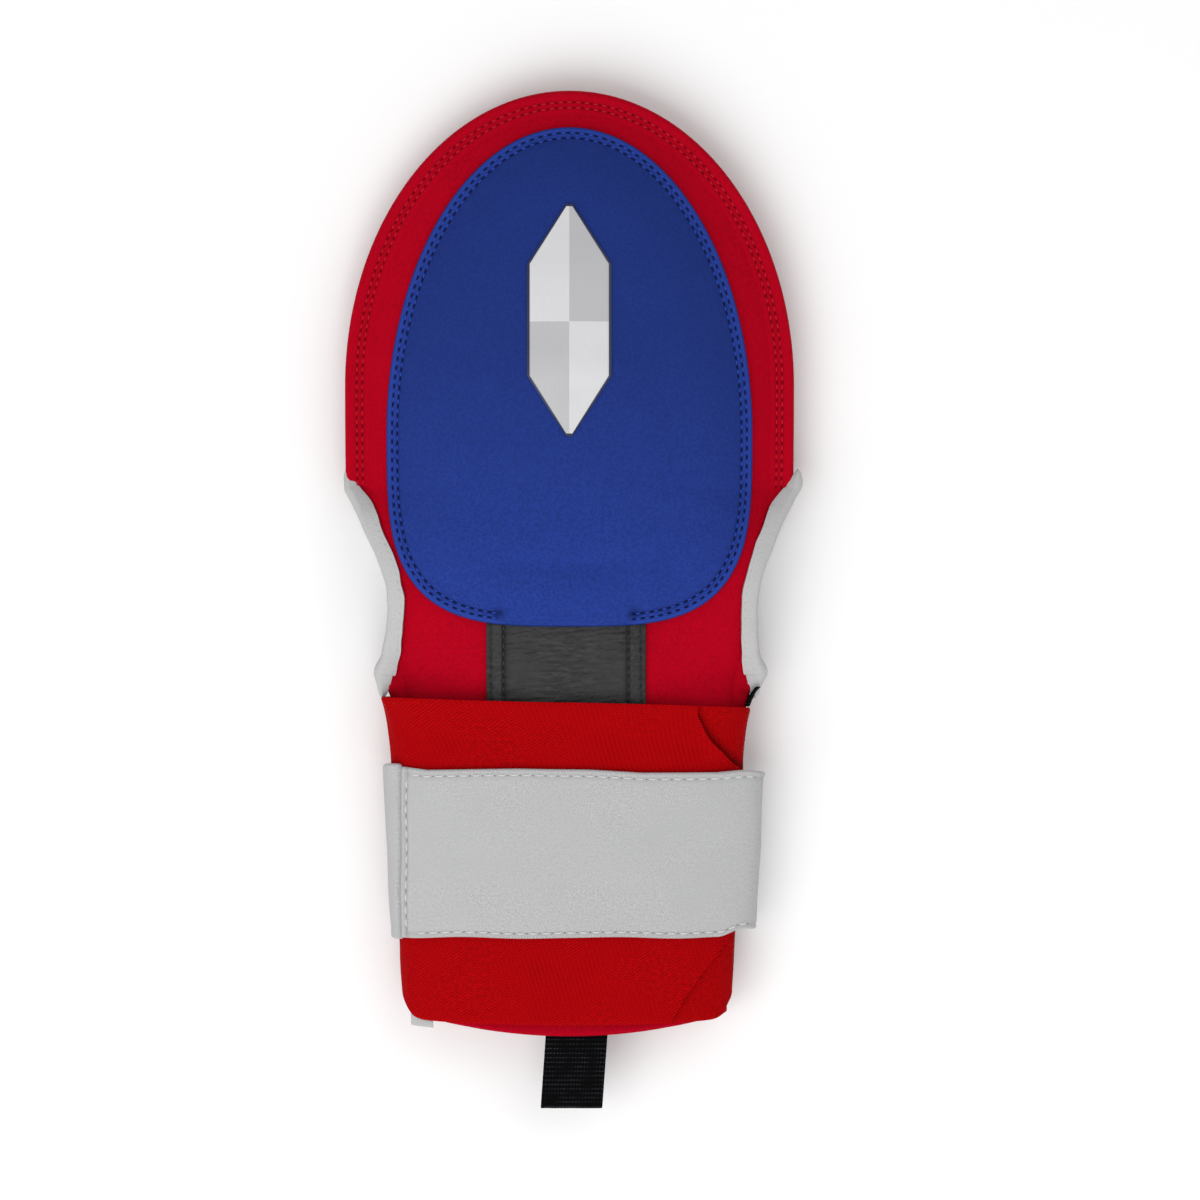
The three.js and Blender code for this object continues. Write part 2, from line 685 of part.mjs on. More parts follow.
function padThickness(share, reach) {
  const inset = (1 - share) * reach;
  const swell = clamp((inset - PAD_SEAM_MARGIN * 0.8) / (PAD_SEAM_MARGIN * 3), 0, 1);
  return PAD_EDGE + (PAD_CROWN - PAD_EDGE) * Math.sin((Math.PI / 2) * swell);
}

const PAD_ANGLES = 40;
const PAD_RINGS = [0, 0.25, 0.48, 0.68, 0.84, 0.93, 1];

function padTopAt(x, y) {
  const angle = Math.atan2(y - PAD_Y, x);
  // the angle whose rim point lies in the same direction, found by halving
  let low = Math.min(angle, 0) < 0 ? -Math.PI : 0;
  let high = low + Math.PI;
  for (let i = 0; i < 40; i++) {
    const middle = (low + high) / 2;
    const rim = padRim(middle);
    if (Math.atan2(rim.y, rim.x) < angle) low = middle;
    else high = middle;
  }
  const rim = padRim(low);
  const reach = Math.hypot(rim.x, rim.y);
  const share = Math.hypot(x, y - PAD_Y) / reach;
  return backTop(x, y) + padSeat(x, y) + padThickness(share, reach);
}

function backPad() {
  const angles = steps(0, 2 * Math.PI, PAD_ANGLES).slice(0, -1);
  const skin = (height) =>
    angles.map((angle) => {
      const rim = padRim(angle);
      const reach = Math.hypot(rim.x, rim.y);
      return PAD_RINGS.map((share) => {
        const x = rim.x * share;
        const y = PAD_Y + rim.y * share;
        return new THREE.Vector3(x, y, backTop(x, y) + padSeat(x, y) + height(share, reach));
      });
    });
  return thickSheet(skin(padThickness), skin(() => 0), { loop: true, centre: true });
}

function flexStrip() {
  const top = PAD_Y - PAD_LOWER_LENGTH + STRIP_TUCK;
  const bottom = ELASTIC_TOP - STRIP_HEM;
  const skin = (lift) =>
    steps(-STRIP_WIDTH / 2, STRIP_WIDTH / 2, 6).map((x) =>
      steps(bottom, top, 6).map(
        (y) => new THREE.Vector3(STRIP_CENTRE + x, y, backTop(STRIP_CENTRE + x, y) + lift),
      ),
    );
  return thickSheet(skin(CLEARANCE + STRIP_THICKNESS), skin(CLEARANCE));
}

// A plain long hexagon with four sloping facets that meet in a ridge.
function badge() {
  const middle = WIDEST_Y + BADGE_DROP;
  const half = BADGE_LENGTH / 2;
  const fullness = (y) => Math.min(1, (half - Math.abs(y)) / BADGE_POINT);
  const stations = [
    ...steps(BADGE_TIP - half, BADGE_POINT - half, 3),
    ...steps(BADGE_POINT - half, half - BADGE_POINT, 5).slice(1),
    ...steps(half - BADGE_POINT, half - BADGE_TIP, 3).slice(1),
  ];
  const skin = (top) =>
    stations.map((y) =>
      [-1, -0.5, 0, 0.5, 1].map((share) => {
        const x = (share * fullness(y) * BADGE_WIDTH) / 2;
        const ridge = lerp(BADGE_EDGE, BADGE_RIDGE, (1 - Math.abs(share)) * fullness(y));
        return new THREE.Vector3(x, middle + y, padTopAt(x, middle + y) + CLEARANCE + (top ? ridge : 0));
      }),
    );
  return thickSheet(skin(true), skin(false));
}

// Pieces at the hem

// A webbing loop folded flat at its lower end, tucked inside the back of the cuff.
function pullTab() {
  const top = CUFF_BELLY + CUFF_HEIGHT - SLEEVE_WALL - CLEARANCE;
  const length = TAB_TUCK + TAB_REACH;
  const line = (share) => -TAB_DROOP * Math.max(0, (share * length - TAB_TUCK) / TAB_REACH) ** 1.6;
  const bend = TAB_WEBBING + TAB_LOOP_GAP / 2;
  const fold = steps(Math.PI / 2, -Math.PI / 2, 6);
  // outline of the folded webbing seen from its edge: down the front ply, round the fold and back
  const ply = (radius) => [
    ...steps(0, 1, 6)
      .slice(0, -1)
      .map((share) => [share * (length - bend), line(share) + radius]),
    ...fold.map((angle) => [length - bend + radius * Math.cos(angle), line(1) + radius * Math.sin(angle)]),
    ...steps(1, 0, 6)
      .slice(1)
      .map((share) => [share * (length - bend), line(share) - radius]),
  ];
  const outerLine = ply(bend);
  const innerLine = ply(TAB_LOOP_GAP / 2);
  const across = [-TAB_WIDTH / 2, TAB_WIDTH / 2];
  const skin = (points) =>
    points.map(([down, up]) => across.map((x) => new THREE.Vector3(x, -down, up)));
  const geometry = thickSheet(skin(outerLine), skin(innerLine));
  geometry.applyMatrix4(new THREE.Matrix4().makeShear(0, 0, Math.tan(TAB_LEAN), 0, 0, 0));
  geometry.translate(TAB_CENTRE, HEM_Y + TAB_TUCK, top - bend);
  return geometry;
}

// The assembly

const FINISHES = {
  redShell: { color: 0xac0119, roughness: 0.85 },
  redElastic: { color: 0xa50206, roughness: 0.8 },
  blueShell: { color: 0x23387e, roughness: 0.8 },
  greyCloth: { color: 0xbfbfbf, roughness: 0.85 },
  blackLeather: { color: 0x3b3b3b, roughness: 0.6 },
  blackWeb: { color: 0x0c0c0f, roughness: 0.9 },
  silver: { color: 0xc2c2c2, roughness: 0.45 },
};

const mitt = new THREE.Group();

function add(name, geometry, finish) {
  const material = new THREE.MeshStandardMaterial({ ...FINISHES[finish], metalness: 0 });
  const mesh = new THREE.Mesh(geometry, material);
  mesh.name = name;
  mitt.add(mesh);
}

add("back_panel", panel(1), "redShell");
add("palm_panel", panel(-1), "redShell");
add("wrist_sleeve", wristSleeve(), "redShell");
add("thumb_binding_left", thumbBinding(-1), "greyCloth");
add("thumb_binding_right", thumbBinding(1), "greyCloth");
add("back_pad", backPad(), "blueShell");
add("badge", badge(), "silver");
add("flex_strip", flexStrip(), "blackLeather");
add("side_gusset", sideGusset(), "blackWeb");
add("elastic_cuff", elasticCuff(), "redElastic");
add("elastic_wrap", elasticWrap(), "redElastic");
add("closure_strap", closureStrap(), "greyCloth");
add("pull_tab", pullTab(), "blackWeb");
add("side_label", sideLabel(), "greyCloth");

export default mitt;
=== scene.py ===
"""Looks of a padded sliding mitt that lies on its palm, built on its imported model.

Metres. +Y points to the fingertips, +X to the right when the back of the hand faces up, and +Z up.
"""

import math
from collections import namedtuple
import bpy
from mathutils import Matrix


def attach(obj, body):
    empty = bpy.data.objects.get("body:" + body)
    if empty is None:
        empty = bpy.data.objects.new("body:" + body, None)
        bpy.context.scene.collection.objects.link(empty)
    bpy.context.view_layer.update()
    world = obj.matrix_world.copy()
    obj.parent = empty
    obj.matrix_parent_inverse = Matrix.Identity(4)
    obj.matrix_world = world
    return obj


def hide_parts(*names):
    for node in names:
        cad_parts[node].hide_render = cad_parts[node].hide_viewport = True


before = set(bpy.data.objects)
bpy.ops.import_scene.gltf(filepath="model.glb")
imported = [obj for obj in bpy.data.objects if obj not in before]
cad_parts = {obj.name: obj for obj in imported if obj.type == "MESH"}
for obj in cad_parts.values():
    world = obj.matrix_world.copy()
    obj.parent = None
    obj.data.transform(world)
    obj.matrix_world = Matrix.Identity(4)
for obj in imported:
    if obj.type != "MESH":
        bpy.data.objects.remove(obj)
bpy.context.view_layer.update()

from types import SimpleNamespace

import bmesh
import bpy
import numpy as np

bl_info = {
    "name": "Sliding Mitt",
    "version": (1, 0, 0),
    "blender": (4, 5, 0),
    "location": "3D View > Sidebar > Mitt",
    "description": "Builds a padded sliding mitt with its stitching, elastic and strap",
    "category": "Add Mesh",
}

MM = 0.001

# Sections of the two panels. along: 0 at the widest line, 1 at the hem.
# narrow: 0 at the hand's width, 1 at the cuff's.
# settle: 0 at the hand's heights, 1 at the cuff's. oval: 0 a sewn rim, 1 a rolled oval sleeve.
SECTIONS = np.array(
    [
        (0, 0, 0, 0),
        (0.141, 0.012, 0, 0),
        (0.227, 0.088, 0, 0),
        (0.328, 0.324, 0.04, 0),
        (0.404, 0.53, 0.28, 0),
        (0.445, 0.66, 0.56, 0.06),
        (0.48, 0.818, 0.82, 0.3),
        (0.531, 0.947, 0.96, 0.8),
        (0.581, 1, 1, 1),
    ],
    dtype=[("along", float), ("narrow", float), ("settle", float), ("oval", float)],
)
HAND_SHOULDER = 2.2
HAND_ROLL = 1.05
CUFF_OVAL = 2.6
PAD_SQUARENESS = 3.4
UPPER_FOLD_BEND = 0.57
LOWER_FOLD_BEND = 0.8

# Points of the grids. Layers round the wrist: round it, in stretches where they are parted, and along
# the arm. panel: along the stretches of its sides, across the padding, across the sewn margin and
# round the toe. tape: along it. pad: round it, across its border and across the rest. badge: along it.
GRIDS = {
    "panel": ((26, 64, 44), 30, 36, 202),
    "sleeve": (260, 46),
    "tape": 150,
    "pad": (520, 34, 42),
    "badge": (14, 30, 14),
    "strip": (124, 104),
    "elastic_cuff": (280, 48),
    "elastic_wrap": ((12, 70, 40, 220), 60),
    "strap": ((90, 170, 80), 52),
    "gusset": (60, 30),
    "label": (30, 16),
}

# Turns round the wrist become lengths on this radius, for the waves of its layers.
WRIST_RADIUS = 50 * MM
# How far in from its piece's edge a row is sewn.
STRAP_UPPER_ROW = 2 * MM
STRAP_LOWER_ROW = 1.5 * MM
STRAP_HEM_ROW = 2.2 * MM
STRIP_EDGE_ROW = 1.3 * MM
TAPE_ROW = 1.1 * MM
# Distance from one stitch to the next where the sidebar doesn't give it.
TAPE_PITCH = 2.4 * MM
STRIP_PITCH = 2.5 * MM

# How far the strap's upper edge rises above its straight line. across: -1 at the mitt's left side
# and 1 at its right. rise: a share of the edge's waviness.
STRAP_EDGE = np.array(
    [(-1, 0.4), (-0.9, 0.2), (-0.72, -0.6), (-0.2, 0.2), (0.05, 0.1)]
    + [(0.3, -0.6), (0.75, -0.2), (0.9, 0.5), (1, 0.7)],
    dtype=[("across", float), ("rise", float)],
)

# Spots of painted shade where the panel's cloth puckers beside the elastic, in millimetres, with a depth
# from 0 to 1.
PUCKER_SHADE_SPOTS = np.array(
    [(-54.0, -29.6, 1.7, 0.9), (-56.2, -31.0, 1.4, 0.6), (53.6, -28.5, 2.2, 0.7)],
    dtype=[("x", float), ("y", float), ("reach", float), ("depth", float)],
)

# Threads of each kind of row, and the needle holes between them, which are dark low beads of painted
# shadow, in millimetres. reach: half of one's length. radius: None where the sidebar gives it. rise: how
# far its middle stands up. flat: its height as a share of its width. start: its place in the first pitch,
# from 0 to 1.
Stitch = namedtuple("Stitch", "reach radius rise flat start", defaults=(1.0, 0.5))
STITCHES = {
    "rim": Stitch(0.75, None, 0.08),
    "rim_holes": Stitch(0.55, 0.36, 0.02, 0.35, 0.0),
    "pad": Stitch(0.72, None, 0.08),
    "pad_holes": Stitch(0.78, 0.42, 0.02, 0.4, 0.0),
    "strap": Stitch(1.25, 0.32, 0.14),
    "strap_holes": Stitch(0.5, 0.34, 0.0, 0.4, 0.0),
    "tape": Stitch(0.6, 0.15, 0.02),
    "strip": Stitch(0.8, 0.22, 0.08),
}


def length(name, millimetres, description):
    """A length in the sidebar, given in millimetres."""
    return bpy.props.FloatProperty(
        name=name, description=description, default=millimetres * MM, unit="LENGTH", precision=5
    )


def angle(name, radians, description):
    """An angle in the sidebar."""
    return bpy.props.FloatProperty(name=name, description=description, default=radians, unit="ROTATION")


def colour(name, red, green, blue, description):
    """A colour in the sidebar, given as it looks on a screen, from 0 to 255."""
    shown = np.array([red, green, blue]) / 255
    linear = np.where(shown <= 0.04045, shown / 12.92, ((shown + 0.055) / 1.055) ** 2.4)
    return bpy.props.FloatVectorProperty(
        name=name, description=description, default=tuple(linear), subtype="COLOR", size=3, min=0, max=1
    )


class MittShape(bpy.types.PropertyGroup):
    """Sizes of the padded panels and the thumb holes."""

    hand_width: length("Hand width", 137, "Width of the hand end at its widest line")
    toe_length: length("Toe length", 90, "From the widest line to the fingertip end")
    side_length: length("Side length", 198, "From the widest line down to the hem")
    hand_height: length("Hand height", 32, "Crown of the back panel above the surface")
    hand_seam_height: length("Seam height", 12.5, "Rim seam above the surface")
    palm_sink: length("Palm sink", 2.5, "How far the palm is flattened by the surface it lies on")
    back_wall: length("Back wall", 2.6, "Thickness of the back panel")
    palm_wall: length("Palm wall", 3, "Thickness of the palm panel")
    seam_flange: length("Seam margin", 7, "Flat sewn margin inside the rim")
    rim_roll: length("Rim roll", 1.7, "Radius of the turned edge")
    cuff_width: length("Cuff width", 103, "Width of the wrist sleeve at the strap")
    hem_width: length("Hem width", 95, "Width of the wrist sleeve at the hem")
    cuff_height: length("Cuff height", 21.8, "Height of the flattened wrist sleeve")
    hem_bow: length("Hem bow", 6.5, "How much lower the hem hangs at its middle")
    sleeve_wall: length("Sleeve wall", 2.6, "Thickness of the wrist sleeve")
    sleeve_cover: length("Sleeve cover", 2, "How far the sleeve's top lies above the strap's")
    hole_length: length("Thumb hole length", 56, "Length of each thumb hole")
    hole_drop: length("Thumb hole drop", 32, "From the widest line down to the hole's upper corner")
    hole_depth: length("Thumb hole depth", 8.6, "How far the panel edges curve in")
    spread_up: length("Thumb spread up", 9, "How far the back's free edge stands up from the seam line")
    spread_down: length("Thumb spread down", 6.5, "How far the palm's free edge hangs below it")
    waist_sway: length("Waist sway", 1.1, "How far the waist lies to the right")
    binding_width: length("Binding width", 4.1, "Width of the thumb hole tape inside the panel's edge")
    binding_tape: length("Binding tape", 1, "Thickness of the thumb hole tape")
    binding_overrun: length("Binding overrun", 5, "How far the tape runs on past the hole's corners")
    binding_flush: length("Binding flush", 1.2, "How far in the left tape's upper end lies")
    clearance: length("Clearance", 0.35, "Gap between pieces that touch")
    relief: length("Cloth waviness", 0.3, "Height of the soft unevenness of the padded cloth")


class MittWrist(bpy.types.PropertyGroup):
    """Sizes of the layers round the wrist."""

    elastic: length("Elastic thickness", 1.1, "Thickness of one layer of elastic")
    elastic_drop: length("Elastic drop", 96.5, "From the widest line to the elastic's upper edge")
    elastic_length: length("Elastic length", 98, "Length of the elastic along the arm")
    elastic_lean: length("Elastic lean", 1.7, "How much lower the upper edge is on the right")
    elastic_flare: length("Elastic flare", 2.2, "How far the upper edge stands off the sleeve")
    flare_reach: length("Flare reach", 15, "How far down the elastic the flare fades out")
    side_lift: length("Side lift", 1.9, "How much higher the elastic's lower edge is at the sides")
    corner_lift: length("Corner lift", 7.5, "What the rounding of its corners adds to that")
    upper_fold: length("Upper fold", 37.6, "Where the upper fold leaves the edge, from the centre")
    lower_fold: length("Lower fold", 30.6, "Where the lower fold leaves the edge, from the centre")
    fold_end: length("Fold end", 50, "Where the folds run under the strap, from the centre")
    fold_shows: length("Fold shows", 1.2, "What shows of each fold at the strap, where it ends")
    fold_swell: length("Fold swell", 1.2, "How far the rolled edge of a fold stands up")
    wrap_tip: angle("Wrap tip", 0.15, "Where the outer layer's folded end lies, from the right side")
    wrap_start: angle("Wrap start", 0.6, "Where the outer layer starts under the palm")
    strap_width: length("Strap width", 51, "Width of the closure strap")
    strap_drop: length("Strap drop", 20.4, "From the elastic's upper edge to the strap's")
    strap_thickness: length("Strap thickness", 1.6, "Thickness of the strap")
    strap_lean: length("Strap lean", 0.8, "How much lower the strap is on the right")
    strap_cut: length("Strap cut", 2.4, "How far its lower right corner is cut back")
    strap_start: angle("Strap start", 0.45, "Where the sewn end lies under the palm, from the left side")
    strap_end: angle("Strap end", 0.1, "Where the free end lies, from the left side")
    strap_loop: length("Strap loop", 3, "How far the strap's turn stands off the wrist")
    strap_wave: length("Strap wave", 1.1, "Height of the waves in the strap's upper edge")
    strap_hem: length("Strap hem", 6.2, "Width of the folded hem at the free end")
    gusset: length("Gusset thickness", 0.7, "Thickness of the side gusset")
    gusset_spread: angle("Gusset spread", 0.2, "How far the gusset reaches up round the side")
    gusset_under: angle("Gusset under", 0.2, "How far it reaches down")
    gusset_flare: length("Gusset flare", 1.4, "How far its upper edge stands off the sleeve")
    gusset_tuck: length("Gusset tuck", 1.2, "How far it reaches up under the tape")
    label_width: length("Label width", 6.4, "Width of the tag at the hem")
    label_reach: length("Label reach", 2.2, "How far the tag hangs below the elastic")
    label_cloth: length("Label cloth", 0.7, "Thickness of the tag")
    label_centre: length("Label centre", 44.4, "The tag's distance to the left of the centre line")


class MittTrim(bpy.types.PropertyGroup):
    """Sizes of the pad, the strip, the badge and the pull tab, and of the sewing."""

    pad_margin: length("Pad margin", 12.75, "Red that shows on each side of the pad")
    pad_upper: length("Pad upper length", 93.4, "From the pad's widest line to its top")
    pad_lower: length("Pad lower length", 58.7, "From the pad's widest line to its lower edge")
    pad_drop: length("Pad drop", 14.8, "From the mitt's widest line down to the pad's")
    pad_edge: length("Pad edge", 1.5, "Thickness of the pad's sewn border")
    pad_crown: length("Pad crown", 4.6, "Thickness of the pad at its middle")
    pad_border: length("Pad border", 5, "Width of the sewn border")
    pad_ease: length("Pad ease", 9, "How far the pad takes to rise to its open lower edge")
    pad_row_outer: length("Outer pad row", 1.8, "Distance of the outer stitch row from the edge")
    pad_row_inner: length("Inner pad row", 3.4, "Distance of the inner stitch row from the edge")
    pad_pitch: length("Pad stitch pitch", 2.8, "Distance from one pad stitch to the next")
    pad_mouth: length("Pad mouth", 20.5, "Half of the unsewn stretch of the pad's lower edge")
    strip_width: length("Strip width", 48.4, "Width of the black strip")
    strip_centre: length("Strip centre", -1, "Where the strip's middle lies across the mitt")
    strip_thickness: length("Strip thickness", 1, "Thickness of the strip")
    strip_tuck: length("Strip tuck", 9, "Length hidden under the pad")
    strip_hem: length("Strip hem", 3.1, "Length hidden under the elastic")
    strip_seam: length("Strip seam", 5.2, "Width of the double-sewn band at each edge")
    strip_crease: length("Strip crease", 0.16, "Depth of the creases across the strip")
    badge_width: length("Badge width", 24, "Width of the badge")
    badge_length: length("Badge length", 72, "Length of the badge between its points")
    badge_point: length("Badge point", 19, "Length of each pointed end")
    badge_tip: length("Badge tip", 1.5, "Cut off each point")
    badge_drop: length("Badge offset", 19.5, "From the mitt's widest line up to the badge's middle")
    badge_edge: length("Badge edge", 0.7, "Thickness of the badge at its edge")
    badge_ridge: length("Badge ridge", 2, "Thickness of the badge along its ridge")
    rim_row_outer: length("Outer rim row", 3.6, "Distance of the outer stitch row from the rim")
    rim_row_inner: length("Inner rim row", 5.3, "Distance of the inner stitch row from the rim")
    rim_pitch: length("Rim stitch pitch", 2.65, "Distance from one rim stitch to the next")
    strap_pitch: length("Strap stitch pitch", 3.8, "Distance from one strap stitch to the next")
    thread: length("Thread radius", 0.29, "Radius of the sewing thread")
    tab_width: length("Tab width", 18.8, "Width of the pull tab")
    tab_reach: length("Tab reach", 22.2, "What shows of the pull tab below the hem")
    tab_tuck: length("Tab tuck", 12, "What is sewn inside the hem")
    tab_webbing: length("Tab webbing", 1.2, "Thickness of the webbing")
    tab_gap: length("Tab gap", 0.8, "Gap between its two plies")
    tab_lean: angle("Tab lean", math.radians(4), "How far the tab leans to the left")
    tab_droop: length("Tab droop", 5, "How far the tab's end sinks")
    tab_centre: length("Tab centre", 3, "Where the tab leaves the hem, across the mitt")
    tab_rib: length("Tab rib", 1.4, "Distance from one rib of the webbing to the next")


class MittColours(bpy.types.PropertyGroup):
    """Colours of the mitt's cloths, leather, threads and badge."""

    red_shell: colour("Red shell", 172, 2, 27, "Padded panels")
    red_elastic: colour("Red elastic", 164, 2, 7, "Outer layer of elastic")
    # A little darker than the outer layer: painted shade on the layer that lies beneath.
    red_under_shaded: colour("Red under layer", 162, 2, 6, "Inner layer of elastic")
    # Painted light: the pad's upper end darker and its lower end lighter, as light falls on it.
    blue_shell: colour("Blue shell", 33, 53, 124, "Upper end of the pad")
    blue_lit_low: colour("Blue lower end", 38, 60, 141, "Lower end of the pad")
    red_thread: colour("Red thread", 198, 30, 44, "Stitches round the rim")
    grey_strap: colour("Strap grey", 187, 187, 188, "Closure strap")
    grey_tape: colour("Tape grey", 186, 186, 186, "Thumb hole tape and tag")
    pale_thread: colour("Pale thread", 214, 214, 214, "Stitches on the strap and the tape")
    black_leather: colour("Leather black", 52, 52, 53, "Strip between pad and wrist")
    black_web: colour("Webbing black", 6, 6, 8, "Pull tab and gusset")
    # Lit and shaded copies of one silver: painted light on the badge's facets.
    silver_painted_lit: colour("Light silver", 206, 206, 208, "Badge facets on the left")
    silver_painted_shade: colour("Shaded silver", 178, 178, 181, "Badge facets on the right")
    badge_line: colour("Badge outline", 24, 32, 66, "Border round the badge")


def blend_values(low, high, share):
    """low where share is 0, high where it is 1, and evenly between."""
    return low + (high - low) * share


def ease(value):
    """Runs smoothly from 0 to 1 as value does, and stays flat outside."""
    t = np.clip(value, 0, 1)
    return t * t * (3 - 2 * t)


def hump(value):
    """1 where value is 0, fading on both sides to nothing at about 2."""
    return np.exp(-(value**2))


def scaled(base, factor):
    """A colour made lighter or darker."""
    return tuple(min(1.0, channel * factor) for channel in base)


def unit(vectors):
    """Vectors brought to a length of 1."""
    return vectors / np.linalg.norm(vectors, axis=-1, keepdims=True)


def running(steps):
    """How far each point of a path lies along it, from the steps between them."""
    return np.concatenate([[0], np.cumsum(steps)])


def path_run(path):
    """How far each point of a path lies along it."""
    return running(np.linalg.norm(np.diff(path, axis=0), axis=1))


def signed_power(value, power):
    """The power of a value's size, with the value's own sign."""
    return np.sign(value) * np.abs(value) ** power


def stretches(ends, counts):
    """Places from the first of the ends to the last, in stretches of as many points as counts says.
    Two stretches share the point where they meet."""
    parts = [np.linspace(start, end, count)[:-1] for start, end, count in zip(ends, ends[1:], counts)]
    return np.concatenate([*parts, ends[-1:]])


def rounding(inset, radius):
    """How far a turned edge of a radius has rolled in, at a distance inside it."""
    left = radius - np.clip(inset, 0, radius)
    return radius - np.sqrt(np.maximum(radius**2 - left**2, 0))


def waver(u, v, wavelength, seed):
    """A smooth uneven surface from about -1 to 1: seven sine waves, each turned by its own angle."""
    turns = np.random.default_rng(seed).uniform(0, 2 * math.pi, (7, 2))
    total = 0
    for step, (turn, start) in enumerate(turns):
        wave = (u * math.cos(turn) + v * math.sin(turn)) * (0.6 + 0.14 * step) / wavelength
        total = total + np.sin(2 * math.pi * wave + start)
    return total / 4


def section_column(name, along):
    """A column of SECTIONS on a cubic whose slope at each row is the harmonic mean of both sides."""
    at = SECTIONS["along"]
    value = SECTIONS[name]
    rise = np.diff(value) / np.diff(at)
    both = rise[:-1] * rise[1:]
    total = np.where(both > 0, rise[:-1] + rise[1:], 1)
    slope = np.concatenate([[0], np.where(both > 0, 2 * both / total, 0), [0]])
    place = np.clip(along, at[0], at[-1])
    i = np.clip(np.searchsorted(at, place) - 1, 0, len(at) - 2)
    span = at[i + 1] - at[i]
    t = (place - at[i]) / span
    bend = t * (1 - t) ** 2 * slope[i] - t * t * (1 - t) * slope[i + 1]
    return blend_values(value[i], value[i + 1], ease(t)) + span * bend


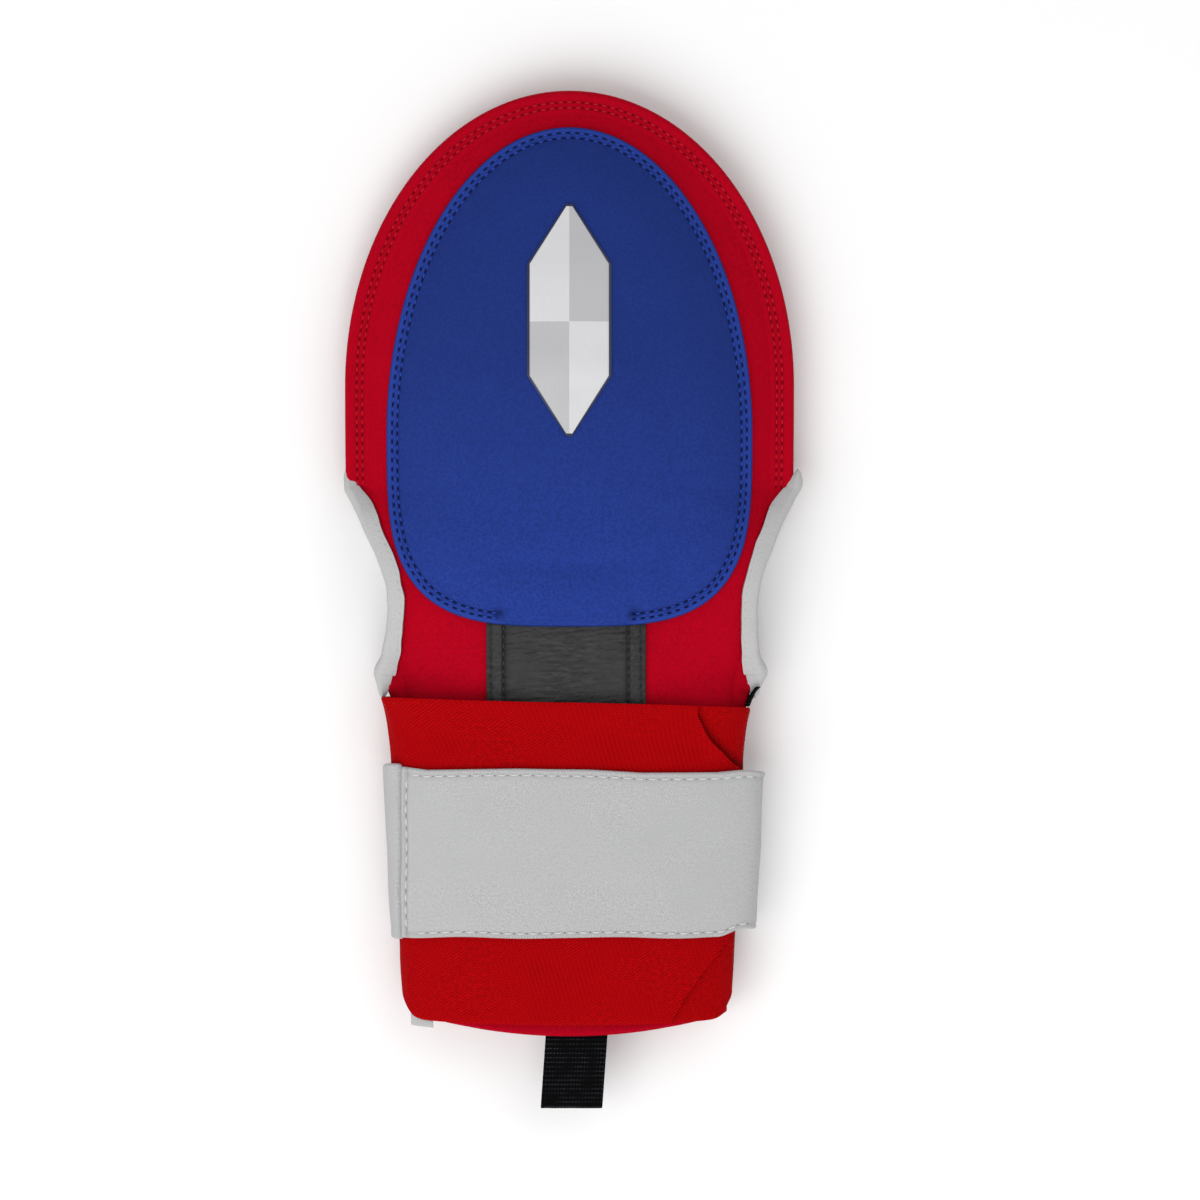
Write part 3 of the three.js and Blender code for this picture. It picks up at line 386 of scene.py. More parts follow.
class Mitt:
    """The mitt's places and surfaces, worked out from the sizes in the sidebar."""

    def __init__(self, scene):
        self.shape = shape = scene.mitt_shape
        self.wrist = wrist = scene.mitt_wrist
        self.trim = trim = scene.mitt_trim
        self.widest = (shape.toe_length + shape.side_length + trim.tab_reach) / 2 - shape.toe_length
        self.hem = self.widest - shape.side_length
        self.hole_top = self.widest - shape.hole_drop
        self.hole_bottom = self.hole_top - shape.hole_length
        self.layer = shape.clearance + wrist.elastic
        self.cuff_belly = 2 * self.layer + shape.clearance + wrist.strap_thickness
        self.cuff_seam = self.cuff_belly + shape.cuff_height / 2
        self.elastic_top = self.widest - wrist.elastic_drop
        self.elastic_bottom = self.elastic_top - wrist.elastic_length
        self.strap_top = self.elastic_top - wrist.strap_drop
        self.strap_bottom = self.strap_top - wrist.strap_width
        self.sleeve_top = self.strap_top + shape.sleeve_cover
        self.pad_y = self.widest - trim.pad_drop
        self.pad_half = shape.hand_width / 2 - trim.pad_margin

    def section(self, y):
        """The cross-section at y: half width, rim line, heights and rounding, as in SECTIONS."""
        shape = self.shape
        along = (self.widest - y) / shape.side_length
        settle = section_column("settle", along)
        oval = section_column("oval", along)
        share = np.clip((y - self.hole_bottom) / shape.hole_length, 0, 1)
        opened = np.sin(math.pi * share)
        taper = np.clip((self.strap_top - y) / (self.strap_top - self.hem), 0, 1)
        cuff_half = blend_values(shape.cuff_width / 2, shape.hem_width / 2, taper)
        half = blend_values(shape.hand_width / 2, cuff_half, section_column("narrow", along))
        return SimpleNamespace(
            half=half,
            edge=half - shape.hole_depth * opened,
            sway=shape.waist_sway * opened,
            opened=opened,
            oval=oval,
            seam=blend_values(shape.hand_seam_height, self.cuff_seam, settle),
            crown=blend_values(shape.hand_height, self.cuff_belly + shape.cuff_height, settle),
            belly=blend_values(-shape.palm_sink, self.cuff_belly, settle),
            flange=shape.seam_flange * (1 - oval),
            roll=shape.rim_roll * (1 - oval) + 1e-6,
            back_lift=shape.back_wall * (1 - oval) + shape.spread_up * opened,
            palm_lift=shape.palm_wall * (1 - oval) + shape.spread_down * opened,
            shoulder=blend_values(HAND_SHOULDER, CUFF_OVAL, oval),
            arch=blend_values(HAND_ROLL, CUFF_OVAL, oval),
        )

    def rim_place(self, x, y, section):
        """How far out a point lies, 0 on the centre line and 1 at the rim, how steeply that grows,
        and its distance from the rim. Past the widest line the rim is half an ellipse."""
        across = (x - section.sway) / section.half
        up = np.maximum(0, y - self.widest) / self.shape.toe_length
        radius = np.hypot(across, up)
        slope = np.hypot(across / section.half, up / self.shape.toe_length)
        steepness = np.where(radius > 1e-9, slope / np.maximum(radius, 1e-9), 1 / section.half)
        return radius, steepness, (1 - radius) / steepness

    def arched(self, x, y, section):
        """Share of the crown's rise: (1 - share out ^ shoulder) ^ (1 / arch), 0 on the sewn margin."""
        radius, steepness, _ = self.rim_place(x, y, section)
        share = np.clip(radius / (1 - section.flange * steepness), 0, 1)
        return (1 - share**section.shoulder) ** (1 / section.arch)

    def dome(self, side, x, y):
        """Height of the back's skin (side 1) or the palm's (side -1) before the edge turns in."""
        section = self.section(y)
        gap = self.shape.clearance / 2
        if side > 0:
            edge = section.seam + gap + section.back_lift
            return blend_values(edge, section.crown, self.arched(x, y, section))
        edge = section.seam - gap - section.palm_lift
        return blend_values(edge, section.belly, self.arched(x, y, section))

    def plain_skin(self, side, x, y):
        """The skin with its turned edge, flattened where the palm meets the surface."""
        section = self.section(y)
        _, _, inset = self.rim_place(x, y, section)
        height = self.dome(side, x, y) - side * rounding(inset, section.roll)
        return height if side > 0 else np.maximum(0, height)

    def rim_sewn(self, y):
        """1 above the thumb holes, where the rim is sewn, and 0 below."""
        fade = 4 * MM
        return ease((y - self.hole_top + fade) / (2 * fade))

    def sewn_relief(self, side, x, y):
        """Unevenness of a padded panel, upwards out of the cloth: soft waves, a shallow channel with
        two grooves for the rim rows and small gathers across it, and drag lines above the elastic."""
        trim = self.trim
        section = self.section(y)
        _, _, inset = self.rim_place(x, y, section)
        middle = (trim.rim_row_outer + trim.rim_row_inner) / 2
        reach = (trim.rim_row_inner - trim.rim_row_outer) * 0.75
        round_rim = np.arctan2(y - self.widest, x) * 80 * MM
        gathers = np.sin(2 * math.pi * round_rim / (2 * trim.rim_pitch)) * 0.07 * MM
        gathers = gathers + waver(round_rim, inset * 0.4, 9 * MM, 5) * 0.1 * MM
        channel = hump((inset - middle) / reach)
        rows = sum(hump((inset - row) / (0.45 * MM)) for row in (trim.rim_row_outer, trim.rim_row_inner))
        gathers = gathers * hump((inset - middle) / (3.2 * MM))
        seam = self.rim_sewn(y) * (gathers - 0.16 * MM * channel - 0.14 * MM * rows)
        inside = ease((inset - 2 * MM) / (10 * MM))
        waves = waver(x, y, 38 * MM, 11 + side) + 0.45 * waver(x, y, 15 * MM, 23 + side)
        drag = 0.35 * waver(x * 0.4, y, 9 * MM, 31) * hump((y - self.elastic_top - 12 * MM) / (16 * MM))
        return seam + self.shape.relief * inside * (waves + drag) * (1 - 0.6 * section.oval)

    def skin(self, side, x, y):
        """The panel's finished outer skin, whose relief fades out where the palm is flattened."""
        relief = self.sewn_relief(side, x, y)
        height = self.plain_skin(side, x, y)
        if side > 0:
            return height + relief
        flat = ease((height - 0.2 * MM) / (3 * MM))
        return np.maximum(0, height - relief * flat)

    def pad_rim(self, turn):
        """The pad's outline: half an ellipse above its widest line, and below it a squarer curve,
        cos and sin each raised to 2 / squareness."""
        upper = np.sin(turn) >= 0
        power = np.where(upper, 1, 2 / PAD_SQUARENESS)
        reach = np.where(upper, self.trim.pad_upper, self.trim.pad_lower)
        return self.pad_half * signed_power(np.cos(turn), power), reach * signed_power(np.sin(turn), power)

    def pad_outline(self, count):
        """Points of the pad's outline at equal steps along it, with the distance from the pad's
        middle to the outline's tangent there."""
        turn = np.linspace(0, 2 * math.pi, 8001)
        x, y = self.pad_rim(turn)
        run = running(np.hypot(np.diff(x), np.diff(y)))
        at = np.linspace(0, run[-1], count, endpoint=False)
        x = np.interp(at, run, x)
        y = np.interp(at, run, y)
        along_x = np.roll(x, -1) - np.roll(x, 1)
        along_y = np.roll(y, -1) - np.roll(y, 1)
        tangent = np.hypot(along_x, along_y)
        reach = np.abs(x * along_y - y * along_x) / tangent
        return x, y, reach

    def pad_sewn(self, x, y):
        """1 where the pad's border is sewn down, and 0 over its open mouth at the bottom."""
        trim = self.trim
        low = ease((self.pad_y - 0.6 * trim.pad_lower - y) / (4 * MM))
        inside = ease((trim.pad_mouth + 1 * MM - np.abs(x - trim.strip_centre)) / (3 * MM))
        return 1 - low * inside

    def pad_seat(self, x, y):
        """How far the pad's underside is off the back, more over the strip's tucked end."""
        trim = self.trim
        mouth = self.pad_y - trim.pad_lower + trim.strip_tuck + trim.pad_ease
        run = trim.pad_ease - 2 * MM
        inside = trim.strip_width / 2 - np.abs(x - trim.strip_centre)
        beside = np.clip((inside + trim.pad_ease) / run, 0, 1)
        below = np.clip((mouth - y) / run, 0, 1)
        gap = self.shape.clearance
        return 1.5 * gap + (trim.strip_thickness + gap) * beside * below

    def pad_top(self, x, y, depth):
        """The pad's upper skin at a distance inside its outline: a sewn border with two rows pressed
        in, from which the padding swells on a quarter sine, with soft unevenness."""
        trim = self.trim
        sewn = self.pad_sewn(x, y)
        border = trim.pad_row_inner + 0.5 * MM
        swell = np.sin(math.pi / 2 * np.clip((depth - border) / (3 * trim.pad_border), 0, 1))
        plain = np.sin(math.pi / 2 * np.clip((depth + 2 * MM) / (3.6 * trim.pad_border), 0, 1))
        lift = blend_values(0.75 * plain, swell, sewn)
        rows = 0.22 * hump((depth - trim.pad_row_outer) / (0.42 * MM))
        rows = rows + 0.34 * hump((depth - trim.pad_row_inner) / (0.55 * MM))
        turn = np.arctan2(y - self.pad_y, x) * 70 * MM
        gathers = waver(turn, depth * 0.5, 6 * MM, 41) * 0.09 * hump((depth - border) / (3 * MM))
        soft = waver(x, y, 34 * MM, 43) + 0.5 * waver(x, y, 16 * MM, 47)
        soft = soft * ease((depth - 6 * MM) / (16 * MM))
        height = trim.pad_edge + (trim.pad_crown - trim.pad_edge) * lift - rounding(depth, 0.8 * MM)
        relief = -rows * MM * sewn + gathers * MM * sewn + soft * 0.26 * MM
        return self.skin(1, x, y) + self.pad_seat(x, y) + height + relief

    def pad_depth(self, x, y):
        """Distance of a point inside the pad's outline, measured towards the tangent it looks at."""
        rim_x, rim_y, reach = self.pad_outline(1440)
        bearing = np.unwrap(np.arctan2(rim_y, rim_x))
        bearing = bearing - 2 * math.pi * (bearing[0] > math.pi)
        look = np.mod(np.arctan2(y - self.pad_y, x), 2 * math.pi)
        radius = np.interp(look, bearing, np.hypot(rim_x, rim_y), period=2 * math.pi)
        reach = np.interp(look, bearing, reach, period=2 * math.pi)
        return (1 - np.hypot(x, y - self.pad_y) / radius) * reach

    def oval(self, turn, y, off):
        """A point off the flattened sleeve: cos and sin of the turn, each raised to 2 / oval, times
        the half width and half height. The turn is 0 at the right and a quarter at the top."""
        section = self.section(y)
        middle = (section.crown + section.belly) / 2
        rise = (section.crown - section.belly) / 2
        x = (section.half + off) * signed_power(np.cos(turn), 2 / CUFF_OVAL)
        z = middle + (rise + off) * signed_power(np.sin(turn), 2 / CUFF_OVAL)
        return np.stack(np.broadcast_arrays(x, y, z), -1)

    def turn_at(self, x, y, off):
        """The turn at which the oval is that far to the right of the centre line, over the top."""
        share = np.clip(x / (self.section(y).half + off), -1, 1)
        return np.arccos(signed_power(share, CUFF_OVAL / 2))

    def flare(self, turn, y):
        """How far the elastic stands off near its upper edge, over the back of the wrist alone."""
        wrist = self.wrist
        upper = np.clip(1.6 * np.sin(turn), 0, 1)
        near = np.clip((y - self.elastic_top + wrist.flare_reach) / wrist.flare_reach, 0, 1.1)
        return wrist.elastic_flare * upper * near**2

    def elastic_high(self, turn):
        """The elastic's upper edge, which leans down to the right."""
        return self.elastic_top - self.wrist.elastic_lean * np.cos(turn)

    def elastic_low(self, turn):
        """The elastic's lower edge, which rises towards the sides with a rounded corner."""
        wrist = self.wrist
        across = np.abs(np.cos(turn))
        return self.elastic_bottom + wrist.side_lift * across**2 + wrist.corner_lift * across**26


def quads(a, b, c, d):
    """Faces whose corners are four arrays of vertex numbers."""
    return np.stack([a, b, c, d], -1).reshape(-1, 4)


def shell(top, bottom, loop=False, centre=False):
    """Vertices and faces of the closed solid between two grids of points of one size. loop joins the
    last row to the first. centre leaves the first column open, where the rows meet each other."""
    rows, columns = top.shape[:2]
    index = np.arange(rows * columns).reshape(rows, columns)
    below = rows * columns
    here = index if loop else index[:-1]
    ahead = np.roll(index, -1, 0) if loop else index[1:]
    faces = [
        quads(here[:, :-1], ahead[:, :-1], ahead[:, 1:], here[:, 1:]),
        quads(here[:, 1:], ahead[:, 1:], ahead[:, :-1], here[:, :-1]) + below,
        quads(here[:, -1], ahead[:, -1], ahead[:, -1] + below, here[:, -1] + below),
    ]
    if not centre:
        faces.append(quads(here[:, 0] + below, ahead[:, 0] + below, ahead[:, 0], here[:, 0]))
    if not loop:
        first, last = index[0], index[-1]
        faces.append(quads(first[:-1] + below, first[:-1], first[1:], first[1:] + below))
        faces.append(quads(last[1:] + below, last[1:], last[:-1], last[:-1] + below))
    points = np.concatenate([top.reshape(-1, 3), bottom.reshape(-1, 3)])
    return points, np.concatenate(faces)


def swept(profiles):
    """Vertices and faces of a tube: closed profiles along a path, with flat ends."""
    rows, columns = profiles.shape[:2]
    index = np.arange(rows * columns).reshape(rows, columns)
    around = np.roll(index, -1, 1)
    faces = quads(index[:-1], index[1:], around[1:], around[:-1]).tolist()
    faces.append(index[0].tolist())
    faces.append(index[-1][::-1].tolist())
    return profiles.reshape(-1, 3), faces


def slopes(height, x, y):
    """Unit normals, pointing up, of a height that is a function of x and y."""
    step = 0.1 * MM
    along_x = (height(x + step, y) - height(x - step, y)) / (2 * step)
    along_y = (height(x, y + step) - height(x, y - step)) / (2 * step)
    return unit(np.stack([-along_x, -along_y, np.ones_like(along_x)], -1))


def facing(height, side=1):
    """A function that gives the normals at points on a height, upwards or, for side -1, downwards."""
    return lambda at: slopes(height, at[:, 0], at[:, 1]) * side


def known_along(path, normals, axis):
    """A function that gives the normals at points on a path from those known along it, looked up by
    one coordinate."""
    order = np.argsort(path[:, axis])

    def found(at):
        looked_up = [np.interp(at[:, axis], path[order, axis], normals[order, k]) for k in range(3)]
        return np.stack(looked_up, -1)

    return found


def cloth_places(u, v):
    """The points' places on the cloth, from two arrays that spread over their grid."""
    return np.stack(np.broadcast_arrays(u, v), -1).reshape(-1, 2)


def make_piece(name, points, faces, material, slot, uv=None, sharp=None, **shares):
    """A mesh object on the mitt's body. Doubled points are welded and the faces turned outwards.
    uv gives each point a place on the cloth in metres. Edges past the sharp angle stay crisp. shares
    are kept with the points, each from 0 to 1: shade is how much painted shade darkens the colour,
    most where one lies deepest in a crease, and border is 1 on the pad's sewn edge, where a painted
    highlight lightens it."""
    mesh = bpy.data.meshes.new(name)
    faces = faces if isinstance(faces, list) else faces.tolist()
    mesh.from_pydata(points.tolist(), [], faces)
    if uv is not None:
        corner = np.empty(len(mesh.loops), np.int32)
        mesh.loops.foreach_get("vertex_index", corner)
        layer = mesh.uv_layers.new(name="cloth")
        layer.data.foreach_set("uv", uv[corner].astype(np.float32).ravel())
    for word, share in shares.items():
        values = np.zeros(len(points), np.float32)
        values[: share.size] = np.clip(share, 0, 1).ravel()
        mesh.attributes.new(word, "FLOAT", "POINT").data.foreach_set("value", values)
    work = bmesh.new()
    work.from_mesh(mesh)
    bmesh.ops.remove_doubles(work, verts=work.verts, dist=1e-6)
    if work.calc_volume(signed=True) < 0:
        bmesh.ops.reverse_faces(work, faces=work.faces)
    work.to_mesh(mesh)
    work.free()
    mesh.shade_smooth()
    if sharp is not None:
        mesh.set_sharp_from_angle(angle=math.radians(sharp))
    mesh.materials.append(material)
    piece = bpy.data.objects.new(name, mesh)
    bpy.context.scene.collection.objects.link(piece)
    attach(piece, "root")
    return piece


def spaced(path, pitch, start):
    """Points at equal steps along a path, and the unit tangents there."""
    run = path_run(path)
    count = int(run[-1] / pitch)
    at = (np.arange(count) + start) * run[-1] / count
    at = at[at < run[-1]]

    def place(along):
        return np.stack([np.interp(along, run, path[:, k]) for k in range(3)], -1)

    return place(at), unit(place(at + pitch * 0.1) - place(at - pitch * 0.1))


def beads(points, tangents, normals, reach, radius, rise, flat):
    """Vertices and faces of short threads at the points: each is a tube along its tangent whose
    radius follows a circle's arc and whose middle line is a low arch that sinks at both ends."""
    rings, sides = 7, 6
    up, ahead = normals[:, None, None, :], tangents[:, None, None, :]
    side = unit(np.cross(normals, tangents))[:, None, None, :]
    along = np.linspace(-1, 1, rings)[None, :, None, None]
    turn = (np.arange(sides) * 2 * math.pi / sides)[None, None, :, None]
    thick = radius * np.sqrt(1 - 0.96 * along**2)
    centre = points[:, None, None, :] + ahead * along * reach
    centre = centre + up * rise * (1 - 2 * along**2)
    ring = up * np.cos(turn) * thick * flat + side * np.sin(turn) * thick
    vertices = (centre + ring).reshape(-1, 3)
    index = np.arange(rings * sides).reshape(rings, sides)
    around = np.roll(index, -1, 1)
    body = quads(index[:-1], index[1:], around[1:], around[:-1])
    starts = (np.arange(len(points)) * rings * sides)[:, None, None]
    faces = (body[None] + starts).reshape(-1, 4).tolist()
    caps = np.stack([index[0], index[-1][::-1]])
    faces.extend((caps[None] + starts).reshape(-1, sides).tolist())
    return vertices, faces


def sew(name, path, normals_at, pitch, kind, material, slot):
    """A row of one kind of STITCHES along a path, lifted off the cloth by what normals_at gives."""
    stitch = STITCHES[kind]
    radius = bpy.context.scene.mitt_trim.thread if stitch.radius is None else stitch.radius * MM
    points, tangents = spaced(path, pitch, stitch.start)
    reach, rise = stitch.reach * MM, stitch.rise * MM
    vertices, faces = beads(points, tangents, normals_at(points), reach, radius, rise, stitch.flat)
    return make_piece(name, vertices, faces, material, slot)


def sew_with_hole_shadows(name, path, normals_at, pitch, kind, materials, slot):
    """A row of stitches in the first material, and of dark beads of painted shadow for the needle holes
    between them in the second.
    """
    for ending, material in zip(("", "_holes"), materials):
        sew(name + ending, path, normals_at, pitch, kind + ending, material, slot)


class Finish:
    """A material with a principled shader, and short ways to add procedural nodes to it."""

    def __init__(self, name, base, roughness, specular=0.35, uv=False):
        self.material = bpy.data.materials.new(name)
        self.material.use_nodes = True
        self.tree = self.material.node_tree
        self.shader = self.tree.nodes["Principled BSDF"]
        self.base = tuple(base)
        plain = {"Base Color": (*self.base, 1), "Roughness": roughness, "Specular IOR Level": specular}
        self.fill(self.shader, plain)
        if uv:
            self.place = self.add("UVMap", {}, uv_map="cloth").outputs["UV"]
        else:
            self.place = self.add("TexCoord", {}).outputs["Object"]
        self.u, self.v, self.w = self.add("SeparateXYZ", {0: self.place}).outputs

    def fill(self, node, inputs):
        """Gives a node its inputs, by name or number, each a socket or a value."""
        for name, value in inputs.items():
            if isinstance(value, bpy.types.NodeSocket):
                self.tree.links.new(value, node.inputs[name])
            else:
                node.inputs[name].default_value = value

    def add(self, kind, inputs, **settings):
        """A new node of a kind with its settings and inputs."""
        node = self.tree.nodes.new("ShaderNode" + kind)
        for name, value in settings.items():
            setattr(node, name, value)
        self.fill(node, inputs)
        return node

    def math(self, operation, *values):
        """A math node on sockets or numbers."""
        return self.add("Math", dict(enumerate(values)), operation=operation).outputs[0]

    def wave(self, place, pitch):
        """A sine from -1 to 1 along a coordinate, once in every pitch."""
        return self.math("SINE", self.math("MULTIPLY", place, 2 * math.pi / pitch))

    def weave(self, pitch_u, pitch_v):
        """Crossed threads from -1 to 1, one in every pitch along each axis."""
        return self.math("MULTIPLY", self.wave(self.u, pitch_u), self.wave(self.v, pitch_v))

    def noise(self, size, detail=2.0, stretch=(1, 1, 1), roughness=0.5):
        """Noise from 0 to 1 with features of about a size, stretched along each axis."""
        place = self.add("Mapping", {"Vector": self.place, "Scale": stretch}).outputs["Vector"]
        inputs = {"Vector": place, "Scale": 1 / size, "Detail": detail, "Roughness": roughness}
        return self.add("TexNoise", inputs).outputs["Fac"]

    def ramp(self, value, low, high):
        """0 below low and 1 above high, smoothly."""
        inputs = {"Value": value, "From Min": low, "From Max": high}
        return self.add("MapRange", inputs, interpolation_type="SMOOTHSTEP").outputs["Result"]

    def share(self, word):
        """A share that is kept with the mesh's points."""
        return self.add("Attribute", {}, attribute_name=word).outputs["Fac"]

    def mix(self, share, first, second, blend="MIX"):
        """A colour between two, each a colour or a socket."""
        ends = [(*end, 1) if isinstance(end, tuple) else end for end in (first, second)]
        inputs = {"Factor": share, 6: ends[0], 7: ends[1]}
        return self.add("Mix", inputs, data_type="RGBA", blend_type=blend).outputs[2]

    def tone(self, factor):
        """The base colour made lighter or darker."""
        return scaled(self.base, factor)

    def paint(self, value, crease=None):
        """Uses a socket as the colour. crease is the colour's share left under the deepest painted shade,
        which the mesh's shade share lays in creases, rows and shadows.
        """
        if crease is not None:
            value = self.mix(self.share("shade"), value, (crease, crease, crease), "MULTIPLY")
        self.fill(self.shader, {"Base Color": value})

    def mottle(self, lit, dark, light, patches, plain, crease=None):
        """Paints the base colour between a dark and a light tone by the socket lit, which is fine tone at
        random and, where it follows ribs and crests, painted light. It fades that to a plain tone in slow
        patches, and crease lays painted shade as in paint."""
        fine = self.mix(lit, self.tone(dark), self.tone(light))
        self.paint(self.mix(patches, fine, self.tone(plain)), crease)

    def roughen(self, value, low, high):
        """Roughness between two values by a socket from 0 to 1."""
        self.fill(self.shader, {"Roughness": self.math("MULTIPLY_ADD", value, high - low, low)})

    def bump(self, *layers):
        """Bumps, each a socket and its depth in metres, one on top of the other."""
        below = {}
        for height, depth in layers:
            node = self.add("Bump", {"Height": height, "Distance": depth, **below})
            below = {"Normal": node.outputs["Normal"]}
        self.fill(self.shader, below)


def shell_cloth(name, base):
    """Matte woven shell cloth: crossed threads, fine fuzz, and slow changes of tone."""
    cloth = Finish(name, base, 0.82, specular=0.03)
    fuzz = cloth.noise(0.9 * MM, detail=3.0, roughness=0.65)
    patches = cloth.ramp(cloth.noise(13 * MM, detail=3.0, roughness=0.6), 0.42, 0.78)
    cloth.mottle(cloth.ramp(fuzz, 0.34, 0.66), 0.89, 1.1, patches, 1.06, crease=0.55)
    cloth.bump((cloth.weave(0.62 * MM, 0.62 * MM), 0.05 * MM), (fuzz, 0.14 * MM))
    return cloth.material


def pad_cloth(name, upper, lower, start, end):
    """The pad's cloth with a mottled heather, painted lighter towards its lower end as painted light,
    and with a painted highlight on its sewn border."""
    cloth = Finish(name, upper, 0.8, specular=0.04)
    fuzz = cloth.noise(0.85 * MM, detail=3.0, roughness=0.7)
    low = cloth.ramp(cloth.math("MULTIPLY", cloth.v, -1.0), -start, -end)
    light = cloth.mix(low, scaled(upper, 1.06), scaled(lower, 1.09))
    dark = cloth.mix(low, scaled(upper, 0.87), scaled(lower, 0.8))
    plain = cloth.mix(cloth.ramp(fuzz, 0.34, 0.66), dark, light)
    # Painted highlight on the sewn border, by the border share.
    cloth.paint(cloth.mix(cloth.share("border"), plain, scaled(lower, 1.3)), crease=0.4)
    cloth.bump((cloth.weave(0.6 * MM, 0.6 * MM), 0.05 * MM), (fuzz, 0.16 * MM))
    return cloth.material


def elastic_twill(name, base):
    """Elastic webbing: short slanted ribs that step across the band, stronger in some patches. Their
    crests are painted lighter and their hollows darker, as painted light.
    """
    cloth = Finish(name, base, 0.78, specular=0.03, uv=True)
    sway = cloth.math("MULTIPLY", cloth.noise(7 * MM, detail=1.0), 1.2 * MM)
    slant = cloth.math("ADD", cloth.math("MULTIPLY_ADD", cloth.u, 0.62, cloth.v), sway)
    steps = cloth.wave(cloth.math("MULTIPLY_ADD", cloth.v, -0.3, cloth.u), 1.35 * MM)
    steps = cloth.math("MULTIPLY_ADD", steps, 0.5, 0.8)
    twill = cloth.math("MULTIPLY", cloth.wave(slant, 0.95 * MM), steps)
    fuzz = cloth.noise(1.1 * MM, detail=2.0)
    slow = cloth.noise(18 * MM, detail=1.0)
    strong = cloth.math("MULTIPLY", twill, cloth.math("MULTIPLY_ADD", slow, 2.2, -0.3))
    lit = cloth.ramp(cloth.math("MULTIPLY_ADD", fuzz, 2.0, strong), 0.2, 2.3)
    cloth.mottle(lit, 0.66, 1.42, cloth.ramp(slow, 0.35, 0.7), 0.99, crease=0.25)
    cloth.bump((strong, 0.1 * MM), (fuzz, 0.1 * MM))
    return cloth.material


def strap_cloth(name, base):
    """Brushed strap cloth: faint rows of knit under a short nap, evener in slow patches."""
    cloth = Finish(name, base, 0.88, specular=0.08, uv=True)
    knit = cloth.weave(0.9 * MM, 0.75 * MM)
    nap = cloth.noise(0.7 * MM, detail=3.0, roughness=0.7)
    lit = cloth.ramp(cloth.math("MULTIPLY_ADD", knit, 0.09, nap), 0.28, 0.7)
    patches = cloth.ramp(cloth.noise(14 * MM, detail=2.0), 0.3, 0.75)
    cloth.mottle(lit, 0.87, 1.1, patches, 0.985, crease=0.45)
    cloth.bump((knit, 0.09 * MM), (nap, 0.16 * MM))
    return cloth.material


def tape_knit(name, base):
    """Soft knitted tape: rows of loops along it and a light nap."""
    cloth = Finish(name, base, 0.85, specular=0.08, uv=True)
    nap = cloth.noise(0.7 * MM, detail=2.0)
    slow = cloth.noise(9 * MM, detail=2.0)
    cloth.mottle(cloth.ramp(nap, 0.3, 0.7), 0.94, 1.04, cloth.ramp(slow, 0.3, 0.7), 1.0)
    cloth.bump((cloth.weave(0.8 * MM, 0.8 * MM), 0.06 * MM), (nap, 0.12 * MM), (slow, 0.25 * MM))
    return cloth.material


def soft_leather(name, base):
    """Synthetic leather: a pebbled grain, fine creases across it, and lighter crests and darker hollows
    along the creases.
    """
    hide = Finish(name, base, 0.55, specular=0.16)
    grain = hide.noise(0.55 * MM, detail=3.0, roughness=0.6)
    creases = hide.noise(1.0 * MM, detail=3.0, stretch=(0.2, 1, 1), roughness=0.62)
    patches = hide.ramp(hide.noise(12 * MM, detail=2.0), 0.3, 0.7)
    hide.mottle(hide.ramp(creases, 0.42, 0.66), 0.7, 1.3, patches, 0.97, crease=0.3)
    hide.roughen(grain, 0.45, 0.68)
    hide.bump((grain, 0.07 * MM), (creases, 0.3 * MM))
    return hide.material


def black_webbing(name, base):
    """Dense webbing: fine cords across the band, each broken into the crowns of its threads, which carry
    painted highlights in slow patches."""
    cloth = Finish(name, base, 0.75, specular=0.05, uv=True)
    crowns = cloth.wave(cloth.u, 0.95 * MM)
    cords = cloth.wave(cloth.v, 1.4 * MM)
    threads = cloth.math("MULTIPLY", cords, cloth.math("MULTIPLY_ADD", crowns, 0.45, 0.8))
    fuzz = cloth.noise(0.9 * MM, detail=2.0)
    slow = cloth.ramp(cloth.noise(7 * MM, detail=1.0), 0.3, 0.62)
    lit = cloth.ramp(cloth.math("MULTIPLY_ADD", fuzz, 1.2, threads), 0.9, 2.0)
    # Painted highlights on the thread crowns: the near-black base lightened many times.
    cloth.paint(cloth.mix(cloth.math("MULTIPLY", lit, slow), cloth.tone(0.4), cloth.tone(17.0)))
    cloth.bump((threads, 0.13 * MM), (fuzz, 0.08 * MM))
    return cloth.material


def moulded_silver(name, base):
    """Moulded badge face: a satin sheen with a very fine brushed unevenness."""
    face = Finish(name, base, 0.42, specular=0.5)
    brushed = face.noise(0.5 * MM, detail=2.0, stretch=(1, 0.12, 1))
    face.paint(face.mix(brushed, face.tone(0.96), face.tone(1.04)))
    face.roughen(brushed, 0.36, 0.5)
    face.bump((brushed, 0.02 * MM))
    return face.material


def sewing_thread(name, base):
    """Twisted thread: fine slanted plies along it."""
    thread = Finish(name, base, 0.6, specular=0.05)
    plies = thread.wave(thread.math("ADD", thread.u, thread.math("ADD", thread.v, thread.w)), 0.3 * MM)
    thread.paint(thread.mix(thread.ramp(plies, -1.0, 1.0), thread.tone(0.86), thread.tone(1.12)))
    thread.bump((plies, 0.03 * MM))
    return thread.material


def floor_paper(name):
    """Plain pale paper with hardly any tone."""
    paper = Finish(name, (0.93, 0.93, 0.93), 0.9, specular=0.1)
    fibres = paper.noise(3 * MM, detail=2.0)
    paper.paint(paper.mix(fibres, paper.tone(0.997), paper.tone(1.003)))
    return paper.material


